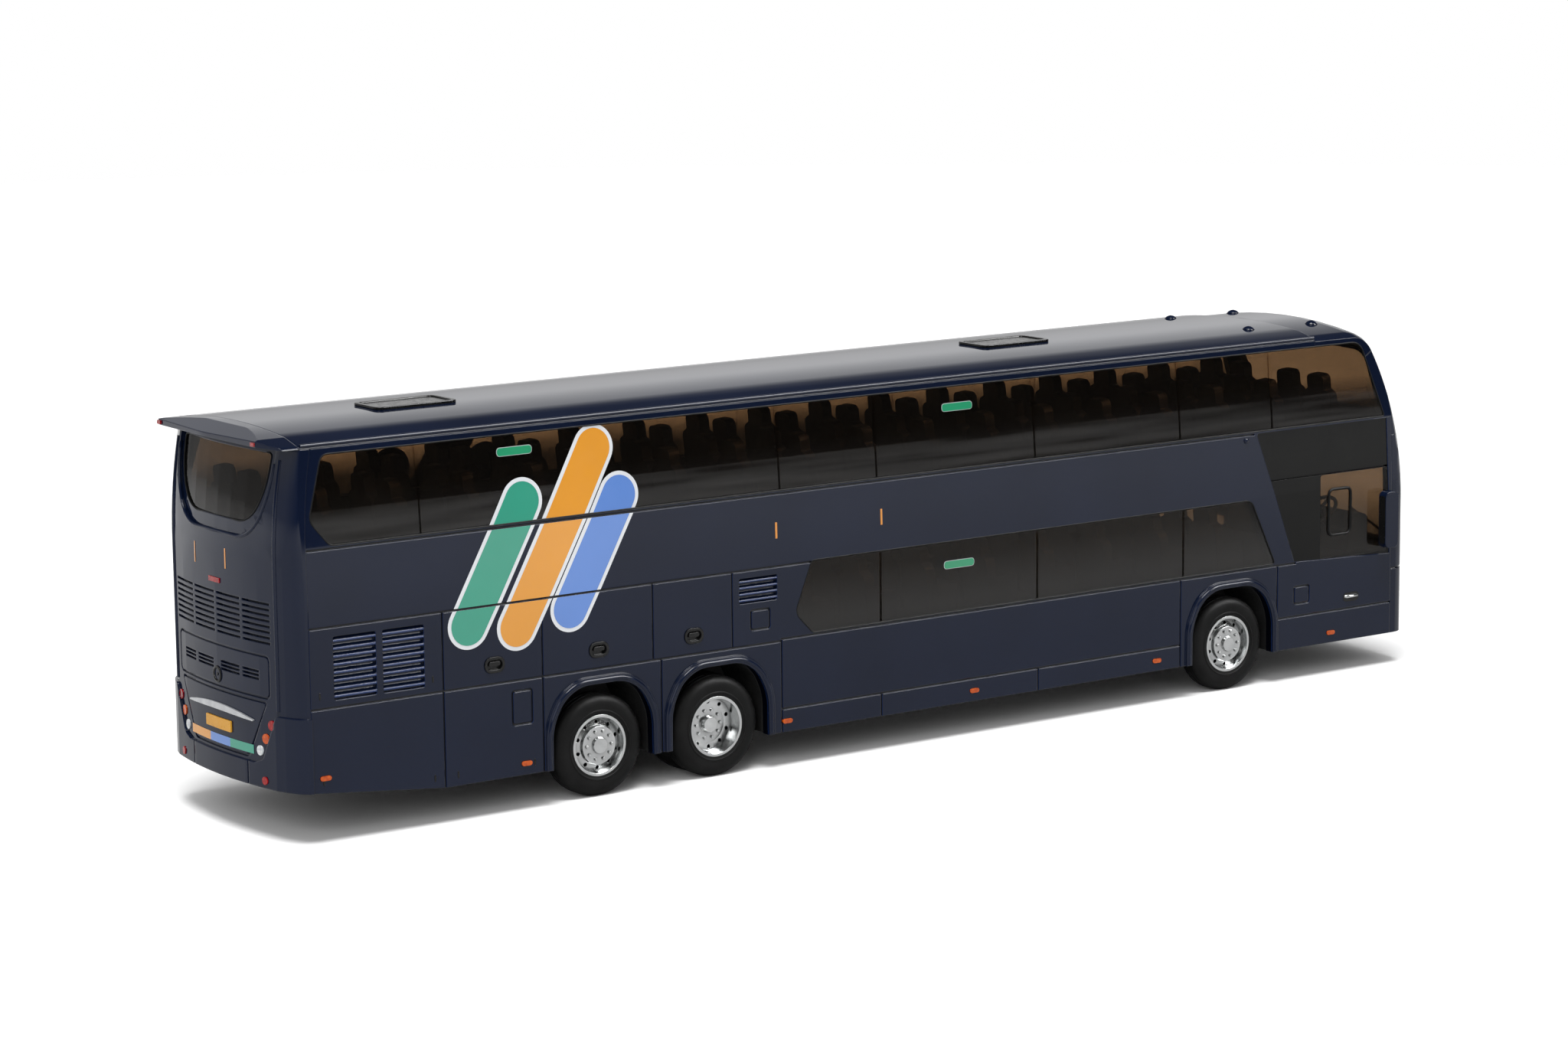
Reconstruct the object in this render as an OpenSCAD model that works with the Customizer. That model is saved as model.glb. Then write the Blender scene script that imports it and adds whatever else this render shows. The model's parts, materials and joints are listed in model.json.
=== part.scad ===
// Scale model of a three-axle double-deck coach with the driver on the right.
// Millimetres, +X to the front, +Y to the left, +Z up, origin on the floor under the middle.

/* [Body] */
// Width over the side panels
body_w = 33.6; // [32:0.2:36]
// Foremost point of the front panel
front_x = 93.2; // [92.5:0.1:94]
// Rearmost point of the rear panel
rear_x = -92.4; // [-93:0.1:-92]
// Thickness of the cast body wall
wall = 1.2; // [1:0.1:1.4]
// How far the upper deck's side leans in at the cantrail
lean = 1.2; // [0.8:0.1:1.6]

/* [Heights] */
// Height of the skirt's lower edge
skirt_z = 4.6; // [4.2:0.1:5.2]
// Lower window sill above the wheel arches
sill_over_arch = 2.4; // [2.2:0.1:3]
// Height of the lower windows
lower_window_h = 9.6; // [8.6:0.1:10.6]
// Height of the band between the two rows of windows
mid_band_h = 9.6; // [8.8:0.1:10.6]
// Height of the upper windows
upper_window_h = 11; // [10:0.1:12]
// Height of the roof's crown above the upper windows
roof_depth = 2.6; // [2.3:0.1:3]

/* [Ends] */
// Bulge of both ends in plan
bulge = 1.2; // [0.8:0.1:1.6]
// Width of the front's rounded corners
front_corner_w = 3.1; // [2.6:0.1:3.6]
// Width of the rear's rounded corners
rear_corner_w = 4; // [3.4:0.1:4.6]
// Depth of all four rounded corners
corner_d = 2.7; // [2.4:0.1:3]
// Radius of the front's curve in side view
front_r = 44; // [40:1:50]
// Radius of the dome over the upper windscreen
dome_r = 6.2; // [5.4:0.1:7]
// Height of the front's upright part above the lower sill
front_upright = 6.8; // [6:0.1:8]
// Radius of the rear's curve in side view
rear_r = 70; // [60:1:80]
// Overhang of the rear spoiler
spoiler_reach = 1.1; // [0.8:0.1:1.4]

/* [Glazing] */
// Thickness of the glazing
glass_t = 0.8; // [0.6:0.1:0.9]
// How far the glazing lies below the paint
glass_recess = 0.12; // [0.05:0.01:0.2]
// Width of the grooves between the panes
pane_gap = 0.35; // [0.2:0.05:0.5]

/* [Panels] */
// Width of the panel gaps
groove_w = 0.26; // [0.15:0.01:0.4]
// Depth of the panel gaps
groove_d = 0.22; // [0.1:0.01:0.4]
// Depth of the louvred openings
louvre_d = 0.5; // [0.4:0.05:0.8]
// Width of the rolled lip round a wheel arch
arch_lip = 0.95; // [0.7:0.05:1.2]
// How far that lip stands out
arch_lip_t = 0.3; // [0.2:0.05:0.4]

/* [Wheels] */
// Tyre diameter
tyre_d = 13.2; // [12.8:0.1:13.6]
// Tyre width
tyre_w = 3.6; // [3.2:0.1:3.8]
// Diameter of the rim's lip
rim_d = 7.9; // [7.4:0.1:8.2]
// Outer face of the tyres behind the side panel
tyre_inset = 0.7; // [0.5:0.1:1]
// Gap between twin tyres
twin_gap = 0.5; // [0.3:0.1:0.7]
// Axle pin diameter
pin_d = 2; // [1.6:0.1:2.4]
// Running clearance of the pin in its bearing
pin_play = 0.05; // [0.03:0.01:0.1]
// Front axle behind the front
front_overhang = 35.3; // [34:0.1:36]
// Distance from the front axle to the drive axle
wheelbase = 87.3; // [85:0.1:88]
// Distance from the drive axle to the tag axle
tag_spacing = 17.9; // [17.4:0.1:18.6]

/* [Chassis] */
// Thickness of the base plate
base_t = 1.6; // [1.2:0.1:2]
// Depth of the bearing blocks under the base plate
block_h = 0.7; // [0.4:0.1:1]
// Gap between the inner pieces and the body wall
inner_gap = 0.1; // [0.05:0.05:0.3]
// Radius of the plinth screw holes
screw_r = 1.1; // [0.8:0.1:1.4]
// Rear plinth screw behind the middle
screw_rear = 70; // [66:1:74]
// Distance between the plinth screws
screw_pitch = 90; // [80:1:100]

/* [Decks] */
// Thickness of both floors
floor_t = 1; // [0.8:0.1:1.2]
// Upper floor below the upper sill
floor_drop = 6.6; // [6:0.1:7]
// Distance between seat rows
seat_pitch = 10.2; // [9:0.1:11]
// Width of a seat
seat_w = 5.6; // [5:0.1:6.2]

/* [Hidden] */
$fn = 48;

paint = "#1b2038";
black = "#101010";
tint = "#3a2a1e";
far = 120;

// Heights, from the wheels up
axle_z = tyre_d / 2;
arch_top_z = tyre_d + 1.6;
lower_sill_z = arch_top_z + sill_over_arch;
lower_head_z = lower_sill_z + lower_window_h;
upper_sill_z = lower_head_z + mid_band_h;
upper_head_z = upper_sill_z + upper_window_h;
roof_h = upper_head_z + roof_depth;
waist_z = lower_head_z + 0.2;
waist_lean = 0.3;
cant_z = upper_head_z + 0.8;
tail_top_z = cant_z;
tail_low_z = skirt_z + 1.9;
front_lean_z = lower_sill_z + front_upright;
rear_lean_z = upper_sill_z - 2.4;
front_split_z = upper_sill_z - 2.8;
base_z = skirt_z - 0.6;

// Places along the coach
half_w = body_w / 2;
tail_w = half_w - rear_corner_w;
front_seam_x = front_x - 4.9;
dome_seam_x = front_x - 19;
rear_seam_x = rear_x + 3.7;
front_axle_x = front_x - front_overhang;
drive_axle_x = front_axle_x - wheelbase;
tag_axle_x = drive_axle_x - tag_spacing;
axles = [front_axle_x, drive_axle_x, tag_axle_x];

// Roof section
eave_y = half_w - 4.6;
eave_z = roof_h - roof_depth / 4;

// Planar helpers
function unit(v) = v / norm(v);
function turned(v, a) = [v[0] * cos(a) - v[1] * sin(a), v[0] * sin(a) + v[1] * cos(a)];

// One corner p between a and b, rounded by an arc of radius r in n steps
function corner_arc(a, p, b, r, n) = r <= 0 ? [p] :
    let (u = unit(a - p), v = unit(b - p), half = acos(u * v) / 2,
        c = p + unit(u + v) * r / sin(half), s = p + u * r / tan(half) - c,
        way = sign(cross(u, v)))
    [for (k = [0:n]) c + turned(s, -way * (180 - 2 * half) * k / n)];

// A closed outline whose corners are [x, y, radius]
function rounded(c, n = 6) = let (m = len(c))
    [for (i = [0:m - 1]) let (a = c[(i + m - 1) % m], p = c[i], b = c[(i + 1) % m])
        each corner_arc([a[0], a[1]], [p[0], p[1]], [b[0], b[1]], p[2], n)];

function box_outline(x0, x1, z0, z1, r) =
    rounded([[x0, z0, r], [x1, z0, r], [x1, z1, r], [x0, z1, r]], 4);

// Extrusions of an outline in (x, z) along Y, and of one in (y, z) along X
module along_y(pts, y0, y1) {
    translate([0, y1, 0]) rotate([90, 0, 0]) linear_extrude(y1 - y0) polygon(pts);
}
module along_x(pts, x0, x1) {
    translate([x0, 0, 0]) rotate([90, 0, 90]) linear_extrude(x1 - x0) polygon(pts);
}

// Sides are drawn on the right, and the left one is the mirror image
module on_side(left) {
    if (left) mirror([0, 1, 0]) children();
    else children();
}
module both_sides() {
    for (left = [false, true]) on_side(left) children();
}
module below(z) {
    translate([-far, -far, z - 2 * far]) cube(2 * far);
}

// Half width of the section at height z, i below the outer skin
function side_y(z, i = 0) = -i + (z <= waist_z ? half_w :
    z <= upper_sill_z ? half_w - waist_lean * (z - waist_z) / (upper_sill_z - waist_z) :
    half_w - waist_lean - (lean - waist_lean) * (z - upper_sill_z) / (cant_z - upper_sill_z));

// A strip of the right wall between insets i and i + t, from z0 to z1
function wall_strip(i, t, z0, z1) = let (zs = concat([z0],
        [for (z = [waist_z, upper_sill_z]) if (z > z0 && z < z1) z], [z1]), n = len(zs))
    concat([for (z = zs) [-side_y(z, i), z]],
        [for (k = [n - 1:-1:0]) [-side_y(zs[k], i + t), zs[k]]]);

// Whole cross section, i below the outer skin, running down past the skirt
function right_half(i) = [[-side_y(0, i), -far / 4, 0], [-side_y(waist_z, i), waist_z, 0],
    [-side_y(upper_sill_z, i), upper_sill_z, 0],
    [-side_y(cant_z, i) + 0.05, cant_z + 0.3 - i * 0.8, 0.7], [-eave_y + i * 0.4, eave_z - i, 0]];
crown_steps = 12;
function crown(i) = [for (k = [1:crown_steps - 1])
    let (y = -eave_y + 2 * eave_y * k / crown_steps)
    [y, roof_h - i - (roof_h - eave_z) * pow(y / eave_y, 2), 0]];
function section(i) = let (h = right_half(i), n = len(h))
    rounded(concat(h, crown(i), [for (k = [n - 1:-1:0]) [-h[k][0], h[k][1], h[k][2]]]), 5);
module section_prism(i, x0, x1) {
    along_x(section(i), x0, x1);
}

// Plan of an end as [setback, y] points, i below the outer skin: a bulged face between two
// corners of width w, each part of an ellipse from angle t0 on
bulge_steps = 4;
corner_steps = 5;
function corner_point(i, w, t0, k) = let (t = t0 + (90 - t0) * k / corner_steps, f = half_w - w)
    [bulge + i + (corner_d - i) * (cos(t0) - cos(t)) / cos(t0),
        f + (w - i) * (sin(t) - sin(t0)) / (1 - sin(t0))];
function end_plan(i, w, t0) = let (f = half_w - w,
        corner = [for (k = [0:corner_steps]) corner_point(i, w, t0, k)])
    concat([for (k = [corner_steps:-1:0]) [corner[k][0], -corner[k][1]]],
        [for (k = [1:2 * bulge_steps - 1]) let (y = -f + f * k / bulge_steps)
            [bulge * pow(y / f, 2) + i, y]],
        corner);
front_corner_t = 14;
rear_corner_t = 45;
function front_plan(i) = end_plan(i, front_corner_w, front_corner_t);
function rear_plan(i) = end_plan(i, rear_corner_w, rear_corner_t);

// A plan closed by a straight line at x0, with its foremost point at x1
function closed_plan(p, x0, x1) = let (way = sign(x1 - x0))
    concat([[x0, p[0][1]]], [for (q = p) [x1 - way * q[0], q[1]]], [[x0, p[len(p) - 1][1]]]);

// Sector of a plan turned about a line across the coach, through (0, 0), from angle a0 to a1
module end_sector(p, r, a0, a1) {
    rotate([90, 0, 0]) rotate([0, 0, a0]) rotate_extrude(angle = a1 - a0, $fn = 96)
        polygon(closed_plan(p, 0, r));
}

// The front: upright, then leaning back on a large radius, then the dome
front_axis_x = front_x - front_r;
dome_rise = (roof_h - front_lean_z - dome_r) / (front_r - dome_r);
dome_angle = asin(dome_rise);
dome_start_z = front_lean_z + front_r * dome_rise;
dome_x = front_axis_x + (front_r - dome_r) * cos(dome_angle);
dome_z = front_lean_z + (front_r - dome_r) * dome_rise;

module nose_upright(i) {
    linear_extrude(front_lean_z) polygon(closed_plan(front_plan(i), front_axis_x, front_x));
}
module nose_leaning(i, more = 0) {
    translate([front_axis_x, 0, front_lean_z]) end_sector(front_plan(i), front_r, -more, dome_angle + more);
}
module dome_curve(i) {
    translate([dome_x, 0, dome_z]) mirror([1, 0, -1]) end_sector(front_plan(i), dome_r, 0, 92 - dome_angle);
}
module dome_flat(i) {
    p = front_plan(i);
    along_x(concat([[p[0][1], front_lean_z]], [for (q = p) [q[1], dome_z + dome_r - q[0]]],
        [[p[len(p) - 1][1], front_lean_z]]), front_axis_x, dome_x);
}
module nose_face(i) {
    intersection() {
        section_prism(i, front_axis_x, far);
        union() {
            nose_upright(i);
            nose_leaning(i);
        }
    }
}

// Skins of thickness t, i below the outer surface: lower front, upper front, dome
module face_skin(i, t) {
    difference() {
        nose_face(i);
        nose_face(i + t);
    }
}
module screen_skin(i, t) {
    difference() {
        intersection() {
            section_prism(i, front_axis_x, far);
            nose_leaning(i);
        }
        nose_leaning(i + t, 1);
        section_prism(i + t, front_axis_x, dome_x);
    }
}
module dome_skin(i, t) {
    difference() {
        intersection() {
            section_prism(i, dome_x, far);
            dome_curve(i);
        }
        dome_curve(i + t);
    }
    difference() {
        intersection() {
            section_prism(i, front_axis_x, dome_x);
            dome_flat(i);
        }
        dome_flat(i + t);
    }
}

// The tail: upright, then leaning forward on a large radius
rear_axis_x = rear_x + rear_r;
tail_lean_angle = 40;
module tail(i) {
    intersection() {
        section_prism(i, -far, rear_axis_x);
        union() {
            linear_extrude(rear_lean_z) polygon(closed_plan(rear_plan(i), rear_axis_x, rear_x));
            translate([rear_axis_x, 0, rear_lean_z]) mirror([1, 0, 0])
                end_sector(rear_plan(i), rear_r, 0, tail_lean_angle);
        }
    }
}
module tail_skin(i, t) {
    difference() {
        tail(i);
        tail(i + t);
    }
}

// Outlines of the side windows in (x, z)
upper_front_x = front_x - 6.2;
upper_front_top_x = front_x - 10.4;
upper_window = rounded([[rear_x + 6.6, upper_head_z, 1.2], [rear_x + 4.4, upper_sill_z + 3.2, 1.6],
    [rear_x + 7, upper_sill_z, 1.4], [upper_front_x, upper_sill_z, 0.3],
    [upper_front_top_x, upper_head_z, 2.2]]);
upper_panes = [-72.8, -46.1, -19.4, -3.8, 22.8, 48.5, 65.5];
lower_rear_x = drive_axle_x + 14.7;
lower_window = rounded([[lower_rear_x, lower_head_z, 0.8], [lower_rear_x - 2.7, lower_sill_z + 2.9, 1.6],
    [lower_rear_x + 0.1, lower_sill_z, 1], [front_x - 27.2, lower_sill_z, 0.4],
    [front_x - 31.8, lower_head_z, 1.6]]);
lower_panes = [-3.5, 22.9, 48.9];

// Cab panel, driver's window and entrance door
cab_top_z = upper_sill_z - 0.3;
cab_line_z = lower_head_z + 2.2;
cab_sill_z = lower_sill_z - 0.1;
cab_front_x = front_seam_x - 0.3;
cab_rear_top_x = front_x - 30.7;
cab_rear_low_x = front_x - 23.6;
cab_pillar_x = front_x - 18.6;
door_x = [front_x - 22.4, front_x - 6];
door_z = [skirt_z + 2.6, cab_line_z - 0.2];
door_outline = box_outline(door_x[0], door_x[1], door_z[0], door_z[1], 0.6);
door_glass_outline = box_outline(door_x[0] + 1.4, door_x[1] - 1.4, door_z[0] + 2.4, door_z[1] - 1.2, 0.8);
driver_outline = rounded([[cab_pillar_x, cab_line_z, 0.4], [cab_pillar_x, cab_sill_z - 0.3, 0.4],
    [cab_front_x - 0.5, cab_sill_z - 0.3, 0.3], [cab_front_x - 0.5, cab_line_z, 0.3]], 3);
// The cab panel's lower step reaches to step_x: the front on the right, the door on the left
function cab_outline(step_x, step_z) = rounded([[cab_rear_top_x, cab_top_z, 0.3],
    [cab_rear_low_x, cab_sill_z, 0.5], [step_x, cab_sill_z, 0.15], [step_x, step_z, 0],
    [cab_front_x, step_z, 0.1], [cab_front_x - 0.6, cab_top_z, 0.1]], 3);
cab_outline_left = cab_outline(door_x[0] - 0.5, cab_line_z);
cab_outline_right = rounded([[cab_rear_top_x, cab_top_z, 0.3], [cab_rear_low_x, cab_sill_z, 0.5],
    [cab_front_x, cab_sill_z - 0.7, 0.1], [cab_front_x - 0.6, cab_top_z, 0.1]], 3);

// Joint between the side panel and the front pieces, which runs through the upper window
front_joint = [[front_seam_x, -1], [front_seam_x, cab_top_z + 0.15], [upper_front_x - 2, cab_top_z + 0.15],
    [dome_seam_x, upper_head_z - 2], [dome_seam_x, cant_z]];
// Joint between the side panel and the tail, which leans with the tail
function tail_seam(z) = rear_axis_x - sqrt(pow(rear_axis_x - rear_seam_x, 2) - pow(z - rear_lean_z, 2));
rear_joint = [for (k = [0:4]) let (z = rear_lean_z + (cant_z + 0.1 - rear_lean_z) * k / 4) [tail_seam(z), z]];
function reversed(v) = [for (k = [len(v) - 1:-1:0]) v[k]];
side_region = concat([[rear_seam_x, -1]], front_joint, reversed(rear_joint));
tail_region = concat([[-far, -1], [rear_seam_x, -1]], rear_joint, [[-far, cant_z + 0.1]]);

// Wheel arch outline about x, grown outwards
arch_half = axle_z + 1;
function arch(x, grow) = rounded([[x - arch_half - grow, 0, 0],
    [x - arch_half + 0.1 - grow, arch_top_z - 4.8 + grow * 0.3, 7],
    [x - arch_half + 1.7 - grow * 0.75, arch_top_z - 1.6 + grow * 0.8, 5], [x - 3.4 - grow * 0.3, arch_top_z + grow, 5],
    [x + 3.4 + grow * 0.3, arch_top_z + grow, 5], [x + arch_half - 1.7 + grow * 0.75, arch_top_z - 1.6 + grow * 0.8, 5],
    [x + arch_half - 0.1 + grow, arch_top_z - 4.8 + grow * 0.3, 7],
    [x + arch_half + grow, 0, 0]], 5);

// Panel gaps on the side: [x0, z0, x1, z1]
locker_z = lower_head_z - 0.2;
wheel_line_z = lower_sill_z - 0.5;
skirt_line_z = skirt_z + 3.1;
step_line_z = skirt_z + 4.6;
rear_locker_x = rear_x + 22.1;
front_locker_x = front_axle_x - 9.5;
front_step_x = front_axle_x + 8.5;
mid_locker_x = drive_axle_x + 9.8;
panel_gaps = [
    [rear_seam_x, locker_z, lower_rear_x - 0.2, locker_z],
    [rear_seam_x, wheel_line_z, mid_locker_x, wheel_line_z],
    [rear_seam_x, upper_sill_z - 0.35, cab_rear_top_x - 0.5, upper_sill_z - 0.35],
    [mid_locker_x, lower_sill_z - 0.25, front_step_x, lower_sill_z - 0.25],
    [mid_locker_x, skirt_line_z, front_locker_x, skirt_line_z],
    [front_step_x, cab_sill_z - 0.2, cab_rear_low_x + 0.2, cab_sill_z - 0.2],
    [rear_locker_x, 0, rear_locker_x, locker_z], [tag_axle_x - 8.7, 0, tag_axle_x - 8.7, locker_z],
    [tag_axle_x + 9, 0, tag_axle_x + 9, wheel_line_z],
    [tag_axle_x + 7.8, wheel_line_z, tag_axle_x + 7.8, locker_z],
    [drive_axle_x + 2.1, wheel_line_z, drive_axle_x + 2.1, locker_z],
    [mid_locker_x, 0, mid_locker_x, lower_sill_z - 0.25],
    [-3.5, 0, -3.5, skirt_line_z], [23, 0, 23, skirt_line_z],
    [front_locker_x, 0, front_locker_x, lower_sill_z - 0.25],
    [front_step_x, 0, front_step_x, cab_sill_z - 0.2]];
driver_gaps = [[front_step_x, step_line_z, front_seam_x, step_line_z]];

// Small flaps outlined by a gap: [x0, x1, z0, z1]
flaps = [[tag_axle_x - 13.3, tag_axle_x - 10.2, 11, 15.5],
    [drive_axle_x + 4.9, drive_axle_x + 8.1, wheel_line_z + 1.9, wheel_line_z + 4.7]];
driver_flaps = [[front_step_x + 3.1, front_step_x + 6.2, step_line_z + 1.7, step_line_z + 4.4],
    [cab_pillar_x + 1.5, cab_pillar_x + 5.7, cab_sill_z + 3.1, cab_line_z - 2.2]];

// Louvred panels: [x0, x1, z0, z1, slats]
side_louvres = [[rear_x + 6.9, rear_x + 12.8, wheel_line_z + 0.9, locker_z - 1.2, 8],
    [rear_x + 13.7, rear_x + 19.5, wheel_line_z + 0.9, locker_z - 1.2, 8],
    [drive_axle_x + 3.2, drive_axle_x + 9.2, locker_z - 4.3, locker_z - 1, 4]];

// Locker handles: [x, z]
handle_z = wheel_line_z + 2.4;
handle_places = [[tag_axle_x - 15.7, handle_z], [tag_axle_x - 0.4, handle_z], [drive_axle_x - 3.9, handle_z]];
handle_size = [2.9, 2];
handle_d = 0.5;
function handle_outline(h, g = 0) = box_outline(h[0] - handle_size[0] / 2 + g, h[0] + handle_size[0] / 2 - g,
    h[1] - handle_size[1] / 2 + g, h[1] + handle_size[1] / 2 - g, 0.95 - g);

// Side marker lamps: [x, z]
marker_z = skirt_z + 1.45;
marker_size = [1.5, 0.6];
function marker_outline(m) = box_outline(m[0] - marker_size[0] / 2, m[0] + marker_size[0] / 2,
    m[1] - marker_size[1] / 2, m[1] + marker_size[1] / 2, 0.29);
marker_places = [[rear_seam_x + 1.7, tail_low_z + 1.7], [tag_axle_x - 11.3, marker_z],
    [drive_axle_x + 10.6, marker_z], [12, marker_z], [front_axle_x - 13.8, marker_z],
    [front_axle_x + 18.8, marker_z]];

module side_wall(i, t) {
    along_x(wall_strip(i, t, skirt_z, cant_z), rear_seam_x, front_seam_x);
}
// A cut through the right wall, and a pocket in it of depth d
module through_side(outline) {
    along_y(outline, -half_w - 1, -half_w + 4);
}
module side_pocket(outline, d) {
    along_y(outline, -half_w - 1, -half_w + d);
}
module side_gap(g) {
    lean_in = g[1] > waist_z ? waist_lean : 0;
    translate([g[0] - groove_w / 2, -half_w - 1, g[1] - groove_w / 2])
        cube([g[2] - g[0] + groove_w, 1 + groove_d + lean_in, g[3] - g[1] + groove_w]);
}
module flap_gap(f) {
    g = groove_w;
    difference() {
        side_pocket(box_outline(f[0], f[1], f[2], f[3], 0.4), groove_d);
        side_pocket(box_outline(f[0] + g, f[1] - g, f[2] + g, f[3] - g, 0.2), 2);
    }
}
module louvre_slats(v) {
    pitch = (v[3] - v[2]) / v[4];
    back = -half_w + louvre_d;
    edge = -half_w + 0.05;
    for (k = [0:v[4] - 1]) let (z = v[2] + pitch * (k + 0.5))
        along_x([[back, z + pitch * 0.46], [edge, z + pitch * 0.04], [edge, z - pitch * 0.2],
            [back, z - pitch * 0.2]], v[0], v[1]);
}
module arch_lips() {
    for (x = axles) difference() {
        along_y(arch(x, arch_lip), -half_w - arch_lip_t, -half_w + 0.4);
        along_y(arch(x, 0), -half_w - 1, -half_w + 1);
        below(skirt_z);
    }
}
// The skirt rises towards the tail
skirt_rise = [[rear_locker_x, -1], [rear_locker_x, skirt_z], [rear_seam_x - 0.1, tail_low_z], [rear_seam_x - 0.1, -1]];

module body_side(left) {
    color(paint) on_side(left) difference() {
        union() {
            difference() {
                intersection() {
                    side_wall(0, wall);
                    through_side(side_region);
                }
                through_side(upper_window);
                through_side(lower_window);
                through_side(left ? cab_outline_left : cab_outline_right);
                through_side(skirt_rise);
                for (g = panel_gaps) side_gap(g);
                for (f = flaps) flap_gap(f);
                if (!left) {
                    for (g = driver_gaps) side_gap(g);
                    flap_gap(driver_flaps[0]);
                }
                for (v = side_louvres) side_pocket(box_outline(v[0], v[1], v[2], v[3], 0.25), louvre_d);
            }
            arch_lips();
            for (v = side_louvres) louvre_slats(v);
        }
        for (x = axles) through_side(arch(x, 0));
        for (h = handle_places) side_pocket(handle_outline(h), handle_d);
        for (m = marker_places) side_pocket(marker_outline(m), 0.4);
        if (left) through_side(door_outline);
    }
}

// Roof panel between the dome seam and the tail, seated on both cantrails
module roof() {
    color(paint) difference() {
        section_prism(0, rear_seam_x, dome_seam_x);
        section_prism(wall, rear_seam_x - 1, dome_seam_x + 1);
        below(cant_z);
    }
}

// Front outlines in (y, z)
screen_half = half_w - 2.4;
screen_lower = box_outline(-screen_half, screen_half, lower_sill_z + 0.4, front_split_z - 0.8, 1.6);
screen_upper = box_outline(-screen_half + 0.2, screen_half - 0.2, upper_sill_z + 0.2, dome_start_z - 1.25, 1.8);
lamp_z = skirt_z + 4.8;
lamp_outline = rounded([[half_w - 8, lamp_z, 0.8], [half_w - 2.8, lamp_z + 0.4, 0.8],
    [half_w - 2.6, lamp_z + 3.4, 0.8], [half_w - 7, lamp_z + 2.4, 0.6]], 4);
front_grille = [-half_w + 11.2, half_w - 11.2, lamp_z - 1.2, lamp_z + 1.4, 4];
bumper_line_z = lower_sill_z - 3.2;

module nose_cut(depth) {
    difference() {
        children();
        nose_face(depth);
    }
}
// Lower front: bumper, lamp openings, air slots and the lower windscreen's frame
module front_lower() {
    slot_pitch = (front_grille[3] - front_grille[2]) / front_grille[4];
    color(paint) difference() {
        intersection() {
            face_skin(0, wall);
            translate([front_seam_x, -far, skirt_z]) cube([far, 2 * far, front_split_z - skirt_z]);
        }
        along_x(screen_lower, front_seam_x, far);
        both_sides() along_x(lamp_outline, front_seam_x, far);
        nose_cut(groove_d) translate([front_seam_x, -far, bumper_line_z]) cube([far, 2 * far, groove_w]);
        nose_cut(louvre_d) for (k = [0:front_grille[4] - 1])
            translate([front_seam_x, front_grille[0], front_grille[2] + slot_pitch * k])
                cube([far, front_grille[1] - front_grille[0], slot_pitch * 0.6]);
    }
}
// Upper front round the upper windscreen
module front_upper() {
    color(paint) difference() {
        screen_skin(0, wall);
        below(front_split_z);
        behind_front_joint();
        along_y(upper_window, -far, far);
        along_x(screen_upper, dome_x, far);
    }
}
// Dome that joins the upper front to the roof
module front_dome() {
    color(paint) difference() {
        dome_skin(0, wall);
        behind_front_joint();
        along_y(upper_window, -far, far);
        translate([front_axis_x, -far, front_lean_z]) rotate([0, 90 - dome_angle, 0]) cube([far, 2 * far, far]);
    }
}
module behind_front_joint() {
    along_y(concat([[0, -1]], front_joint, [[dome_seam_x, far], [0, far]]), -far, far);
}
module windscreen_lower() {
    color(tint) intersection() {
        face_skin(glass_recess, glass_t);
        along_x(screen_lower, front_seam_x, far);
    }
}
module windscreen_upper() {
    color(tint) intersection() {
        screen_skin(glass_recess, glass_t);
        along_x(screen_upper, dome_x, far);
    }
}
module headlamps() {
    color("#e8eef2") intersection() {
        face_skin(glass_recess, glass_t);
        both_sides() along_x(lamp_outline, front_seam_x, far);
    }
}
wiper_t = 0.3;
wiper_places = [-half_w + 4.8, 1];
module wipers() {
    z = lower_sill_z + 0.6;
    color(black) for (y = wiper_places) intersection() {
        face_skin(-wiper_t, wiper_t);
        along_x([[y, z], [y + 0.5, z], [y + 9.4, z + 2.8], [y + 9.2, z + 3.1]], front_seam_x, far);
    }
}

// Rear outlines in (y, z)
tail_front_x = rear_seam_x + 3;
rear_glass_z = upper_sill_z + 2.3;
function mirrored(v) = concat(v, [for (k = [len(v) - 1:-1:0]) [-v[k][0], v[k][1], v[k][2]]]);
rear_glass = rounded(mirrored([[-tail_w + 1.7, upper_head_z, 0.5], [-tail_w + 2, upper_head_z - 4.2, 10],
    [-tail_w + 4.9, rear_glass_z, 5]]), 6);
rear_surround = rounded(mirrored([[-tail_w + 0.6, cant_z + 1, 0], [-tail_w + 0.8, upper_head_z - 4.4, 14],
    [-tail_w + 4.1, rear_glass_z - 1.9, 6]]), 6);
surround_d = 0.35;
// Rear grille: [y0, y1, z0, z1], with its bays and slats
rear_grille = [-tail_w + 0.6, tail_w - 0.6, lower_head_z - 2.6, lower_head_z + 2.9];
grille_bays = 4;
grille_slats = 8;
bay_bar = 0.55;
engine_door = [-tail_w + 1.2, tail_w - 1.2, lower_sill_z + 0.3, lower_sill_z + 5.7];
engine_slots = [[0.08, 0.46], [0.52, 0.82]];
engine_slot_z = [lower_sill_z + 2.5, lower_sill_z + 3.9];
engine_slits = 3;
hatch_z = [tail_low_z + 3.3, lower_sill_z];
function hatch_outline(g) = rounded(mirrored([[-tail_w + 1.8 + g, hatch_z[1] - g, 0.3],
    [-tail_w + 5.8 + g, hatch_z[0] + g, 1]]), 4);
// The bumper stands out and rises at both corners, outside the lamps
bumper_z = tail_low_z + 2.9;
bumper_top_z = lower_sill_z - 1.5;
bumper_t = 0.3;
bumper_seam_y = tail_w - 5.9;
bumper_outline = rounded(mirrored([[-far, tail_low_z - 1, 0], [-far, bumper_top_z, 0],
    [-tail_w - 0.1, bumper_top_z, 0.6], [-tail_w + 2.6, bumper_z + 0.6, 1.2], [-tail_w + 4.4, bumper_z, 0.6]]), 4);
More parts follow.
